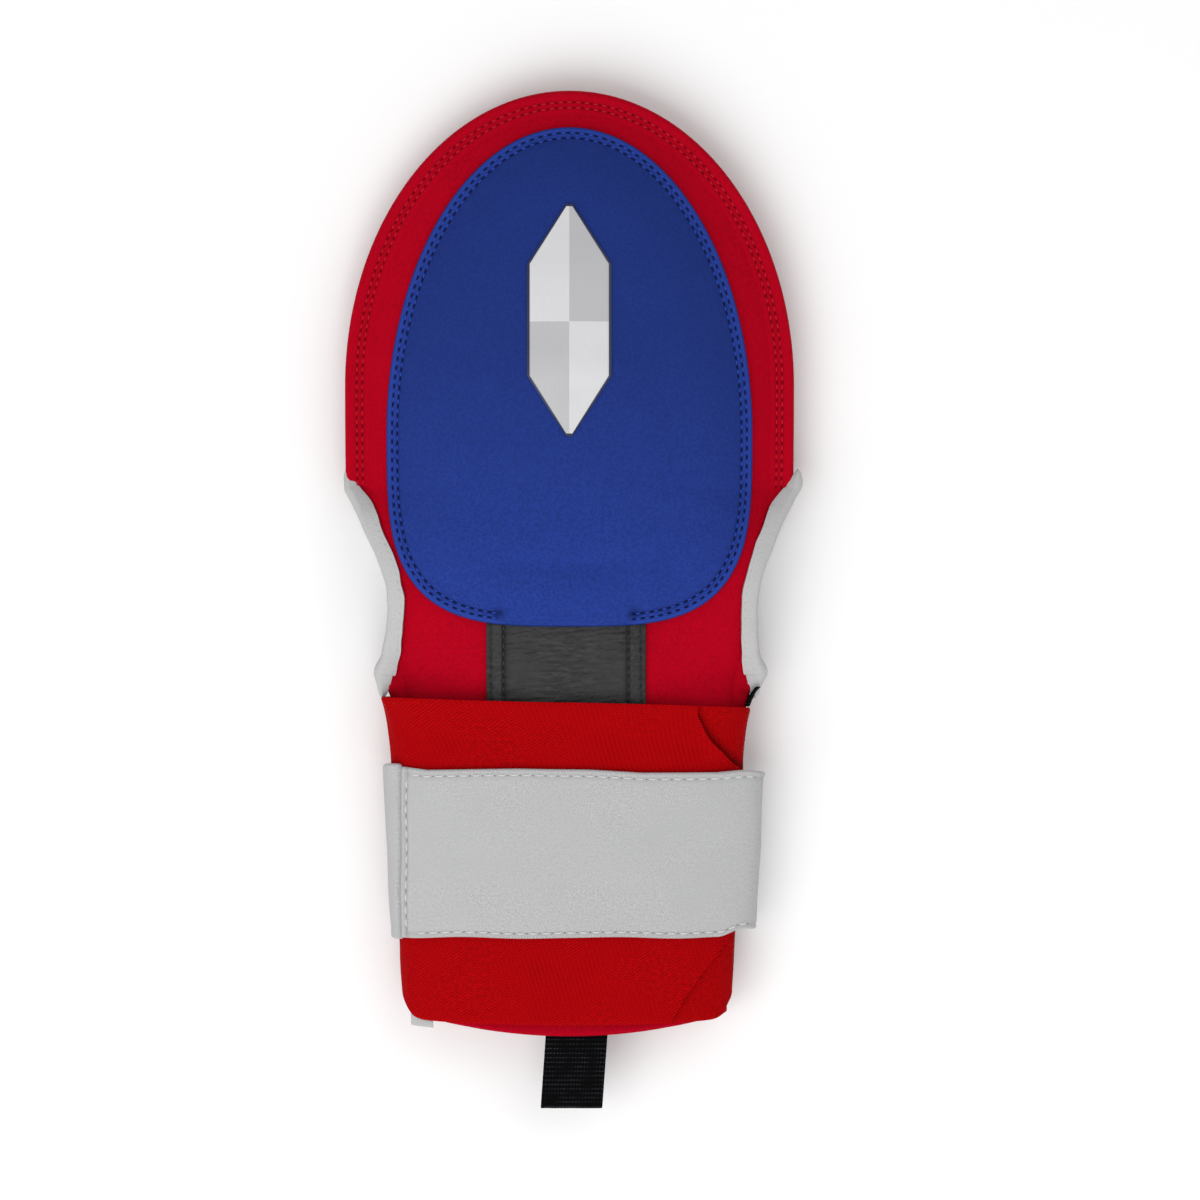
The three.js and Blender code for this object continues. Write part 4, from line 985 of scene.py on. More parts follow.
def panel_plan(mitt):
    """Points in plan, up the right side from the sleeve, round the toe and down the left. Each row runs
    from the centre line to the rim, with more than half of its points in the sewn margin."""
    margin = 13 * MM
    sides, padding, sewn, round_toe = GRIDS["panel"]
    bottom = mitt.sleeve_top + mitt.shape.clearance
    stations = stretches((mitt.widest, mitt.hole_top, mitt.hole_bottom, bottom), sides)
    section = mitt.section(stations)
    inner = np.linspace(0, 1, padding, endpoint=False)[None, :]
    outer = np.linspace(1, 0, sewn)[None, :]

    def shares(half):
        edge = margin / half[:, None]
        return np.concatenate([inner * (1 - edge), 1 - edge * outer], 1)

    share = shares(section.half)
    y = stations[:, None] + 0 * share
    reach = share * section.edge[:, None]
    right = np.stack([section.sway[:, None] + reach, y], -1)
    left = np.stack([section.sway[:, None] - reach, y], -1)
    turn = np.linspace(0, math.pi, round_toe)[1:-1, None]
    half = mitt.shape.hand_width / 2
    share = shares(np.full(len(turn), half))
    toe_y = mitt.widest + share * mitt.shape.toe_length * np.sin(turn)
    toe = np.stack([share * half * np.cos(turn), toe_y], -1)
    return np.concatenate([right[::-1], toe, left])


def panel_solid(mitt, side):
    """One padded panel: its skin, and its lining a wall's thickness inside it, never past the seam."""
    plan = panel_plan(mitt)
    x, y = plan[..., 0], plan[..., 1]
    wall = mitt.shape.back_wall if side > 0 else mitt.shape.palm_wall
    skin = np.stack([x, y, mitt.skin(side, x, y)], -1)
    rim = mitt.section(y)
    inner = rim.half - 0.2 * MM
    held = np.clip(x, rim.sway - inner, rim.sway + inner)
    plain = slopes(lambda a, b: mitt.plain_skin(side, a, b), held, y) * side
    lining = np.stack([x, y, mitt.plain_skin(side, x, y)], -1) - plain * wall
    seam = rim.seam + side * mitt.shape.clearance / 2
    lining[..., 2] = np.maximum(lining[..., 2], seam) if side > 0 else np.minimum(lining[..., 2], seam)
    return shell(skin, lining, centre=True)


def rim_path(mitt, side, inset):
    """A line on a panel at a distance inside the rim, from one thumb hole round the toe to the other."""
    shape = mitt.shape
    down = np.linspace(mitt.hole_top + 1 * MM, mitt.widest, 120, endpoint=False)
    section = mitt.section(down)
    turn = np.linspace(0, math.pi, 900)
    half = shape.hand_width / 2
    flat = np.hypot(np.cos(turn) / half, np.sin(turn) / shape.toe_length)
    toe_x = half * np.cos(turn) - inset * np.cos(turn) / half / flat
    toe_y = mitt.widest + shape.toe_length * np.sin(turn) - inset * np.sin(turn) / shape.toe_length / flat
    x = np.concatenate([section.half - inset, toe_x, inset - section.half[::-1]])
    y = np.concatenate([down, toe_y, down[::-1]])
    return np.stack([x, y, mitt.skin(side, x, y)], -1)


def wrist_grid(turns, columns, low, high):
    """Turns and places along the arm of a layer round the wrist between its two edges, near which the
    points lie closer."""
    even = np.linspace(0, 1, columns)
    share = 0.55 * (0.5 - 0.5 * np.cos(math.pi * even)) + 0.45 * even
    turn = np.broadcast_to(turns[:, None], (len(turns), columns))
    y = blend_values(low[:, None], high[:, None], share[None, :])
    return turn, y


def layer_solid(mitt, turn, y, off, thickness, loop=False, edge=0.45 * MM):
    """A layer round the wrist between two skins, its edges rounded, with each point's place on the
    cloth: its run round the oval, and its place along the arm."""
    inset = np.minimum(y - y[:, :1], y[:, -1:] - y)
    if not loop:
        row = np.arange(len(turn))[:, None]
        inset = np.minimum(inset, np.minimum(row, row[::-1]) * 0.5 * MM)
    rolled = rounding(inset, edge)
    outer = mitt.oval(turn, y, off + thickness - rolled)
    inner = mitt.oval(turn, y, off + np.minimum(rolled, thickness * 0.45))
    points, faces = shell(outer, inner, loop=loop)
    middle = mitt.oval(turn[:, 0], np.full(len(turn), mitt.strap_top), 0)
    run = path_run(middle)
    uv = cloth_places(run[:, None], y)
    return points, faces, np.concatenate([uv, uv]), run[-1]


class MITT_OT_panels(bpy.types.Operator):
    """Builds the padded back and palm panels and the stitching round their rim"""

    bl_idname = "mitt.panels"
    bl_label = "Build Panels"

    def execute(self, context):
        mitt = Mitt(context.scene)
        trim = mitt.trim
        colours = context.scene.mitt_colours
        cloth = shell_cloth("red shell cloth", colours.red_shell)
        thread = sewing_thread("red thread", colours.red_thread)
        # Needle hole shadows: dark beads of the shell's colour, as painted shade.
        hole_shadows = sewing_thread("red needle holes", scaled(colours.red_shell, 0.45))
        shade = self.creases(mitt)
        for side, node in ((1, "back_panel"), (-1, "palm_panel")):
            points, faces = panel_solid(mitt, side)
            piece = make_piece(node + "_cloth", points, faces, cloth, "red_shell", shade=shade)
            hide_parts(node)
            normals = facing(lambda a, b: mitt.plain_skin(side, a, b), side)
            for row, inset in (("outer", trim.rim_row_outer), ("inner", trim.rim_row_inner)):
                path, name = rim_path(mitt, side, inset), f"{node}_{row}_row"
                sew_with_hole_shadows(name, path, normals, trim.rim_pitch, "rim", (thread, hole_shadows), "red_shell")
        return {"FINISHED"}

    def creases(self, mitt):
        """Painted shade at each point of the plan: in the two rim rows, by how deep the skin lies there,
        and in the pucker spots.
        """
        trim = mitt.trim
        plan = panel_plan(mitt)
        x, y = plan[..., 0], plan[..., 1]
        _, _, inset = mitt.rim_place(x, y, mitt.section(y))
        rows = sum(hump((inset - row) / (0.5 * MM)) for row in (trim.rim_row_outer, trim.rim_row_inner))
        spots = sum(
            spot["depth"] * hump(np.hypot(x - spot["x"] * MM, y - spot["y"] * MM) / (spot["reach"] * MM))
            for spot in PUCKER_SHADE_SPOTS
        )
        return 0.55 * rows * mitt.rim_sewn(y) + spots


class MITT_OT_sleeve(bpy.types.Operator):
    """Builds the wrist sleeve, of which only the bowed hem shows below the elastic"""

    bl_idname = "mitt.sleeve"
    bl_label = "Build Wrist Sleeve"

    def execute(self, context):
        mitt = Mitt(context.scene)
        shape = mitt.shape
        cloth = shell_cloth("red sleeve cloth", scaled(context.scene.mitt_colours.red_shell, 0.93))
        around, along = GRIDS["sleeve"]
        turns = np.linspace(0, 2 * math.pi, around, endpoint=False)
        hem = mitt.hem + shape.hem_bow * np.abs(np.cos(turns)) ** (4 / CUFF_OVAL)
        turn, y = wrist_grid(turns, along, hem, np.full(len(turns), mitt.sleeve_top))
        # Soft waves that stay under the elastic, and a groove above the folded hem.
        waves = waver(turn * WRIST_RADIUS, y, 16 * MM, 51) * 0.22 * MM
        folded = 0.2 * MM * hump((y - y[:, :1] - 2.6 * MM) / (0.6 * MM))
        wall = shape.sleeve_wall
        off = np.minimum(waves - folded, 0.1 * MM) - wall
        points, faces, _, run = layer_solid(mitt, turn, y, off, wall, loop=True, edge=1.1 * MM)
        piece = make_piece("wrist_sleeve_cloth", points, faces, cloth, "red_shell")
        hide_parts("wrist_sleeve")
        return {"FINISHED"}


class MITT_OT_bindings(bpy.types.Operator):
    """Builds the tape that is folded over the free edges of both thumb holes"""

    bl_idname = "mitt.bindings"
    bl_label = "Build Thumb Bindings"

    def frames(self, mitt, side, panel):
        """Places along a panel's free edge: the wall's middle, the way in and the normal, with the run
        from the hole's lower corner. Past the hole's corners the line runs straight on."""
        shape = mitt.shape
        wall = shape.back_wall if panel > 0 else shape.palm_wall
        over = shape.binding_overrun
        run = np.linspace(-1.45 * over, shape.hole_length + 1.3 * over, GRIDS["tape"])
        y = mitt.hole_bottom + np.clip(run, 0, shape.hole_length)

        def wall_middle(y, inset):
            section = mitt.section(y)
            x = section.sway + side * (section.edge - inset)
            z = mitt.dome(panel, x, y)
            z = z - wall / 2 if panel > 0 else np.maximum(0, z) + wall / 2
            return np.stack([x, y, z], -1)

        middle = wall_middle(y, 0)
        forward = unit(wall_middle(y + 1 * MM, 0) - wall_middle(y - 1 * MM, 0))
        inward = wall_middle(y, shape.binding_width) - middle
        inward = unit(inward - forward * (inward * forward).sum(1, keepdims=True))
        normal = unit(np.cross(forward, inward))
        normal = normal * np.where(normal[:, 2:] * panel < 0, -1, 1)
        past = run - np.clip(run, 0, shape.hole_length)
        return run, middle + forward * past[:, None], inward, normal

    def ends(self, shape, run, side, panel):
        """Shares of the tape's width and of its rolled edge that are left along it, and how far in it
        lies. Both shares fade towards its ends. On the back the rolled edge bulges at the hole's
        corners, and the left tape's upper end lies further in."""
        over = shape.binding_overrun
        after = run - run[0]
        before = run[-1] - run
        past = run - shape.hole_length
        lower_end = np.clip(after / (1.8 * over), 0, 1) ** 0.7
        upper_end = np.clip(before / (2.8 * over), 0, 1) ** 0.8
        taper = 0.06 + 0.94 * lower_end * upper_end
        tips = np.clip(after / over, 0, 1) * np.clip(before / (0.5 * over), 0, 1)
        bulge = hump((run - 0.2 * over) / (0.55 * over)) * (0.9 if side > 0 else 0.5)
        bulge = bulge + 0.5 * hump((past - 0.4 * over) / (0.5 * over)) * (side > 0)
        rolled = (0.25 + 0.75 * tips**0.5) * (1 + bulge * (panel > 0))
        inset = shape.binding_flush * ease((past + 3 * over) / (3 * over))
        inset = (inset + 0.24 * np.maximum(0, past)) * (side < 0)
        return taper[:, None], rolled[:, None], inset[:, None]

    def cross_section(self, shape, half):
        """How far in and how far up each point of the tape's cross-section lies: its outer skin along
        one leg, round the fold and back along the other leg, and then its inner skin."""
        fold = np.linspace(math.pi / 2, -math.pi / 2, 13)
        leg = np.linspace(1, 0, 7, endpoint=False)
        sunk = 0.25 * MM * leg**3
        width = shape.binding_width
        into = np.concatenate([leg * width, -np.cos(fold) * half * 0.62, leg[::-1] * width])
        up = np.concatenate([half - sunk, np.sin(fold) * half, sunk[::-1] - half])
        core = half - shape.binding_tape
        into = np.concatenate([into, into[::-1] * 0.98 + 0.3 * MM * (into[::-1] < 0)])
        return into, np.concatenate([up, up[::-1] * core / half])

    def tape(self, mitt, node, side, panel, cloth, thread):
        """The tape over one panel's free edge, and its stitches."""
        shape = mitt.shape
        wall = shape.back_wall if panel > 0 else shape.palm_wall
        half = wall / 2 + shape.clearance + shape.binding_tape
        run, middle, inward, normal = self.frames(mitt, side, panel)
        taper, rolled, inset = self.ends(shape, run, side, panel)
        into, up = self.cross_section(shape, half)
        ripple = 1 + 0.05 * waver(run, 0 * run, 7 * MM, 61 + side)[:, None]
        reach = into[None, :] * np.where(into[None, :] > 0, taper, rolled) * ripple + inset
        lift = up[None, :] * (0.55 + 0.45 * taper)
        profile = middle[:, None, :] + inward[:, None, :] * reach[..., None]
        points, faces = swept(profile + normal[:, None, :] * lift[..., None])
        across = running(np.hypot(np.diff(into), np.diff(up)))
        uv = cloth_places(across[None, :], run[:, None])
        name = f"{node}_{'back' if panel > 0 else 'palm'}_tape"
        piece = make_piece(name, points, faces, cloth, "grey_cloth", uv=uv, sharp=50)
        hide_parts(node)
        sewn = (run > 1 * MM) & (run < shape.hole_length - 6 * MM)
        line = middle + inward * (shape.binding_width - TAPE_ROW) + normal * (half - 0.12 * MM)
        normals = known_along(line[sewn], normal[sewn], 1)
        sew(name + "_stitches", line[sewn], normals, TAPE_PITCH, "tape", thread, "grey_cloth")

    def execute(self, context):
        mitt = Mitt(context.scene)
        grey = context.scene.mitt_colours.grey_tape
        cloth = tape_knit("grey knitted tape", grey)
        thread = sewing_thread("grey thread", scaled(grey, 1.12))
        for side, node in ((-1, "thumb_binding_left"), (1, "thumb_binding_right")):
            for panel in (1, -1):
                self.tape(mitt, node, side, panel, cloth, thread)
        return {"FINISHED"}


class MITT_OT_pad(bpy.types.Operator):
    """Builds the padded shield on the back, with its two stitched rows"""

    bl_idname = "mitt.pad"
    bl_label = "Build Back Pad"

    def execute(self, context):
        mitt = Mitt(context.scene)
        trim = mitt.trim
        colours = context.scene.mitt_colours
        top_y = mitt.pad_y + trim.pad_upper
        # The pad's painted light grows from start to end, lighter towards its lower end.
        start, end = top_y - 60 * MM, mitt.pad_y - 45 * MM
        cloth = pad_cloth("blue shell cloth", colours.blue_shell, colours.blue_lit_low, start, end)
        around, border_rings, rings = GRIDS["pad"]
        rim_x, rim_y, reach = mitt.pad_outline(around)
        # Rings of points from the outline to the middle, close together across the border.
        near = np.linspace(0, 9 * MM, border_rings)
        far = np.linspace(0, 1, rings)[1:, None]
        edge_rings = np.broadcast_to(near[:, None], (len(near), len(reach)))
        inner_rings = near[-1] + (reach[None, :] - near[-1]) * far
        depth = np.concatenate([edge_rings, inner_rings]).T[:, ::-1]
        share = 1 - depth / reach[:, None]
        x = rim_x[:, None] * share
        y = mitt.pad_y + rim_y[:, None] * share
        top = np.stack([x, y, mitt.pad_top(x, y, depth)], -1)
        rolled = np.minimum(rounding(depth, 0.5 * MM), 0.3 * MM)
        under = np.stack([x, y, mitt.skin(1, x, y) + mitt.pad_seat(x, y) + rolled], -1)
        points, faces = shell(top, under, loop=True, centre=True)
        shares = self.shares(mitt, x, y, depth)
        piece = make_piece("back_pad_cloth", points, faces, cloth, "blue_shell", **shares)
        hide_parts("back_pad")
        # The thread is lighter than the pad as a painted highlight on the stitches.
        thread = sewing_thread("blue thread", scaled(colours.blue_lit_low, 1.6))
        # Needle hole shadows: dark beads of the pad's colour, as painted shade.
        hole_shadows = sewing_thread("blue needle holes", scaled(colours.blue_shell, 0.3))
        normals = facing(lambda a, b: mitt.pad_top(a, b, mitt.pad_depth(a, b)))
        for row, inset in (("outer", trim.pad_row_outer), ("inner", trim.pad_row_inner)):
            path, name = self.row_path(mitt, inset), f"back_pad_{row}_row"
            sew_with_hole_shadows(name, path, normals, trim.pad_pitch, "pad", (thread, hole_shadows), "blue_shell")
        return {"FINISHED"}

    def shares(self, mitt, x, y, depth):
        """Painted shade on the pad's skin: in its rows and at its edge, by how deep they lie, in the
        puckers beside the mouth and in the crumples between the rows; and how much of its sewn border
        takes the painted highlight."""
        trim = mitt.trim
        outer, inner = trim.pad_row_outer, trim.pad_row_inner
        sewn = mitt.pad_sewn(x, y)
        rows = 0.5 * hump((depth - outer) / (0.5 * MM)) + 0.8 * hump((depth - inner) / (0.6 * MM))
        edge = 0.9 * ease(1 - depth / (0.5 * MM))
        end = np.abs(np.abs(x - trim.strip_centre) - trim.pad_mouth) / (1.9 * MM)
        pucker = 0.8 * hump(end) * hump((depth - 3.4 * MM) / (1.5 * MM)) * (y < mitt.pad_y)
        between = hump((depth - (outer + inner) / 2) / (1.6 * MM))
        crumple_shade = 0.45 * between * np.maximum(0, waver(x, y, 2.4 * MM, 67)) * sewn
        border = 0.8 * ease(1 - (depth - inner) / (1.2 * MM)) * sewn
        return {"shade": np.maximum(rows * sewn, edge) + pucker + crumple_shade, "border": border}

    def row_path(self, mitt, inset):
        """A line on the pad at a distance inside its outline, which starts and ends at the mouth."""
        rim_x, rim_y, reach = mitt.pad_outline(4000)
        share = 1 - inset / reach
        x = rim_x * share
        y = mitt.pad_y + rim_y * share
        open_edge = (y < mitt.pad_y) & (np.abs(x - mitt.trim.strip_centre) < mitt.trim.pad_mouth)
        start = np.flatnonzero(open_edge)[-1] + 1
        order = np.roll(np.arange(len(x)), -start)
        order = order[~open_edge[order]]
        x, y = x[order], y[order]
        return np.stack([x, y, mitt.pad_top(x, y, np.full(len(x), inset))], -1)


class MITT_OT_badge(bpy.types.Operator):
    """Builds the plain faceted badge and the dark border under it"""

    bl_idname = "mitt.badge"
    bl_label = "Build Badge"

    def plate(self, mitt, grow, low, high, ridge):
        """The top and base of a long hexagon that follows the pad, in rows across it from one point to
        the other. It is as much larger than the badge as grow says, and it stands on the pad between
        the heights low and high, from which its top rises to a ridge along the middle."""
        trim = mitt.trim
        half = trim.badge_length / 2 + grow
        point = trim.badge_point + grow
        tip = half - trim.badge_tip
        y = stretches((-tip, point - half, half - point, tip), GRIDS["badge"])
        full = np.minimum(1, (half - np.abs(y)) / point)
        across = np.array([-1, -0.97, -0.72, -0.36, 0, 0.36, 0.72, 0.97, 1.0])
        x = across[None, :] * (full * (trim.badge_width / 2 + grow))[:, None]
        y = np.broadcast_to(mitt.widest + trim.badge_drop + y[:, None], x.shape)
        seat = mitt.pad_top(x, y, mitt.pad_depth(x, y)) + mitt.shape.clearance
        slope = np.minimum(1, (1 - np.abs(across)) / 0.97)[None, :]
        rise = high + (ridge - high) * slope * full[:, None]
        rise = rise - 0.35 * high * (np.abs(across) > 0.99)[None, :]
        return np.stack([x, y, seat + rise], -1), np.stack([x, y, seat + low], -1)

    def execute(self, context):
        mitt = Mitt(context.scene)
        trim = mitt.trim
        colours = context.scene.mitt_colours
        # Two copies of one silver, one with painted light and one with painted shade, for facets facing
        # towards and away from the light.
        light = moulded_silver("silver face with painted light", colours.silver_painted_lit)
        shade = moulded_silver("silver face with painted shade", colours.silver_painted_shade)
        sizes = {"grow": 0.0, "low": 0.25 * MM, "high": trim.badge_edge, "ridge": trim.badge_ridge}
        top, base = self.plate(mitt, **sizes)
        points, faces = shell(top, base)
        piece = make_piece("badge_face", points, faces, light, "silver_badge", sharp=8)
        piece.data.materials.append(shade)
        centres = np.empty(len(piece.data.polygons) * 3)
        piece.data.polygons.foreach_get("center", centres)
        centres = centres.reshape(-1, 3)
        # Painted shade on the upper right and lower left facets, painted light on the others.
        upper = centres[:, 1] > mitt.widest + trim.badge_drop
        right = centres[:, 0] > 0
        piece.data.polygons.foreach_set("material_index", (right == upper).astype(np.int32))
        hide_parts("badge")
        border = moulded_silver("dark badge border", colours.badge_line)
        top, base = self.plate(mitt, grow=0.8 * MM, low=-0.3 * MM, high=0.22 * MM, ridge=0.24 * MM)
        points, faces = shell(top, base)
        make_piece("badge_border", points, faces, border, "silver_badge", sharp=30)
        return {"FINISHED"}


class MITT_OT_strip(bpy.types.Operator):
    """Builds the creased black strip between the pad and the wrist, with its sewn edges"""

    bl_idname = "mitt.strip"
    bl_label = "Build Flex Strip"

    def relief(self, mitt, across, y):
        """Height of the strip's face: a raised sewn band at each edge, and creases across the rest."""
        trim = mitt.trim
        inset = trim.strip_width / 2 - np.abs(across)
        band = ease((trim.strip_seam + 0.3 * MM - inset) / (0.6 * MM)) * 0.5 * MM
        crossing = waver(across * 0.25, y, 2.2 * MM, 71) + 0.9 * waver(across * 0.34, y, 1.1 * MM, 73)
        bare = ease((inset - trim.strip_seam) / (1.5 * MM))
        creases = trim.strip_crease * crossing * (0.3 + 0.7 * bare)
        sag = -0.3 * MM * ease((inset - trim.strip_seam) / (9 * MM))
        return band - 0.36 * MM * self.rows(mitt, inset) + creases + sag - rounding(inset, 0.5 * MM)

    def rows(self, mitt, inset):
        """1 in the grooves of the two rows sewn along each edge."""
        edge = hump((inset - STRIP_EDGE_ROW) / (0.42 * MM))
        return edge + hump((inset - mitt.trim.strip_seam) / (0.5 * MM))

    def execute(self, context):
        mitt = Mitt(context.scene)
        trim = mitt.trim
        colours = context.scene.mitt_colours
        hide = soft_leather("black leather", colours.black_leather)
        # The thread is lighter than the leather as a painted highlight on the stitches.
        thread = sewing_thread("black thread", scaled(colours.black_leather, 1.6))
        low = mitt.elastic_top - trim.strip_hem
        high = mitt.pad_y - trim.pad_lower + trim.strip_tuck
        columns, rows = GRIDS["strip"]
        across = (np.linspace(0, 1, columns)[:, None] - 0.5) * trim.strip_width
        y = blend_values(low, high, np.linspace(0, 1, rows)[None, :]) + 0 * across
        x = trim.strip_centre + across + 0 * y
        seat = mitt.skin(1, x, y) + mitt.shape.clearance
        # The bands don't stand up where the pad and the elastic cover them.
        under_pad = ease((y - high + trim.strip_tuck) / (2 * MM))
        tucked = np.maximum(under_pad, ease((low + 3 * MM - y) / (2 * MM)))
        face = self.relief(mitt, across, y)
        face = blend_values(face, np.minimum(face, 0), tucked)
        top = np.stack([x, y, seat + trim.strip_thickness + face], -1)
        points, faces = shell(top, np.stack([x, y, seat], -1))
        inset = trim.strip_width / 2 - np.abs(across)
        # Painted shade in the sewn rows, just inside the bands, and in the bands' crumples.
        beside = 0.5 * hump((inset - trim.strip_seam - 0.6 * MM) / (1.1 * MM))
        band = ease((trim.strip_seam - inset) / (1 * MM)) * np.maximum(0, waver(across, y, 1.9 * MM, 75))
        shade = 0.8 * self.rows(mitt, inset) + beside + 0.4 * band
        look = {"sharp": 60, "shade": shade}
        piece = make_piece("flex_strip_leather", points, faces, hide, "black_leather", **look)
        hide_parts("flex_strip")

        def height(x, y):
            seat = mitt.skin(1, x, y) + mitt.shape.clearance
            return seat + trim.strip_thickness + self.relief(mitt, x - trim.strip_centre, y)

        y = np.linspace(low + 3 * MM, high - trim.strip_tuck + 1 * MM, 300)
        for side, word in ((-1, "left"), (1, "right")):
            for row, inset in (("edge", STRIP_EDGE_ROW), ("seam", trim.strip_seam)):
                x = np.full(len(y), trim.strip_centre + side * (trim.strip_width / 2 - inset))
                path = np.stack([x, y, height(x, y)], -1)
                name = f"flex_strip_{word}_{row}_row"
                sew(name, path, facing(height), STRIP_PITCH, "strip", thread, "black_leather")
        return {"FINISHED"}


class MITT_OT_elastic(bpy.types.Operator):
    """Builds the two layers of elastic round the wrist, with the outer one's folds"""

    bl_idname = "mitt.elastic"
    bl_label = "Build Elastic"

    def execute(self, context):
        mitt = Mitt(context.scene)
        colours = context.scene.mitt_colours
        self.under_layer(mitt, elastic_twill("red elastic under layer", colours.red_under_shaded))
        self.outer_layer(mitt, elastic_twill("red elastic", colours.red_elastic))
        return {"FINISHED"}

    def under_layer(self, mitt, material):
        """The inner layer, with rucks below its flared upper edge. A painted shadow darkens it just above
        the outer layer's folded edge."""
        wrist = mitt.wrist
        around, along = GRIDS["elastic_cuff"]
        turns = np.linspace(0, 2 * math.pi, around, endpoint=False)
        high = mitt.elastic_high(turns)
        turn, y = wrist_grid(turns, along, mitt.elastic_low(turns), high)
        edge = high[:, None] - y
        upper = ease(1 + 2 * np.sin(turn))
        ruck = waver(turn * WRIST_RADIUS, y * 0.6, 12 * MM, 81) * 0.14 * MM
        off = mitt.shape.clearance + mitt.flare(turn, y) + ruck * upper * ease(edge / (6 * MM))
        points, faces, uv, run = layer_solid(mitt, turn, y, off, wrist.elastic, loop=True)
        line = self.fold_lines(mitt)[1](turns)[:, None]
        # Painted shadow cast by the outer layer's folded edge.
        shade = ease(1 - (y - line) / (5 * MM)) * (y > mitt.strap_top) * (np.sin(turn) > 0)
        look = {"uv": uv, "sharp": 50, "shade": shade}
        piece = make_piece("elastic_cuff_band", points, faces, material, "red_elastic", **look)
        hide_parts("elastic_cuff")

    def fold_lines(self, mitt):
        """The outer layer's lower and upper edges along the arm, which fold in towards the strap, with
        the turns where the upper and lower folds start and where both end."""
        wrist = mitt.wrist
        off = mitt.layer + mitt.shape.clearance
        upper = mitt.turn_at(wrist.upper_fold, mitt.elastic_top, off)
        lower = mitt.turn_at(wrist.lower_fold, mitt.elastic_bottom, off)
        end = mitt.turn_at(wrist.fold_end, mitt.strap_top, off)
        shows = wrist.fold_shows

        def low(turns):
            hidden = mitt.strap_bottom - shows + 3 * shows * ease((end - turns) / 0.2)
            share = self.folded(turns, lower, end) ** LOWER_FOLD_BEND
            return blend_values(mitt.elastic_low(turns), hidden, share)

        def high(turns):
            hidden = mitt.strap_top + shows - 2 * shows * ease((end - turns) / 0.2)
            share = self.folded(turns, upper, end) ** UPPER_FOLD_BEND
            return blend_values(mitt.elastic_high(turns), hidden, share)

        return low, high, upper, lower, end

    def folded(self, turns, start, end):
        """How far across the wrist a turn is from a fold's start to its end, from 0 to 1."""
        across, first, last = (signed_power(np.cos(at), 2 / CUFF_OVAL) for at in (turns, start, end))
        return np.clip((across - first) / (last - first), 0, 1)

    def outer_layer(self, mitt, material):
        """The outer layer, with rucks and slow waves that fade out at the strap, and a swell along the
        rolled upper fold and, less, along the lower one."""
        wrist = mitt.wrist
        off = mitt.layer + mitt.shape.clearance
        low, high, upper, lower, end = self.fold_lines(mitt)
        (hidden, folds, between, rest), along = GRIDS["elastic_wrap"]
        turns = np.concatenate(
            [
                np.linspace(wrist.wrap_tip, end, hidden)[:-1],
                np.linspace(end, upper, folds)[:-1],
                upper + (lower - upper) * np.linspace(0, 1, between)[:-1] ** 1.4,
                np.linspace(lower, 2 * math.pi - wrist.wrap_start, rest),
            ]
        )
        low, high = low(turns), high(turns)
        turn, y = wrist_grid(turns, along, low, high)
        round_wrist = turn * WRIST_RADIUS
        ruck = waver(round_wrist, y * 0.6, 14 * MM, 83) * 0.16 * MM
        ruck = ruck + waver(round_wrist, y, 30 * MM, 85) * 0.2 * MM
        above = ease((y - mitt.strap_top - 1 * MM) / (5 * MM))
        clear = np.maximum(above, ease((mitt.strap_bottom - 1 * MM - y) / (5 * MM)))
        over = ease(1 + 2 * np.sin(turn))
        upper_part = ease(self.folded(turns, upper, end) * 8)[:, None]
        lower_part = ease(self.folded(turns, lower, end) * 8)[:, None]
        roll = hump((high[:, None] - y) / (3.4 * MM)) * upper_part
        crease = hump((y - low[:, None] - 0.6 * MM) / (2.2 * MM)) * lower_part
        swell = wrist.fold_swell * (roll + 0.6 * crease)
        off = off + mitt.flare(turn, y) + (ruck + swell) * clear * over
        points, faces, uv, run = layer_solid(mitt, turn, y, off, wrist.elastic)
        name = "elastic_wrap_band"
        piece = make_piece(name, points, faces, material, "red_elastic", uv=uv, sharp=50)
        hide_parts("elastic_wrap")


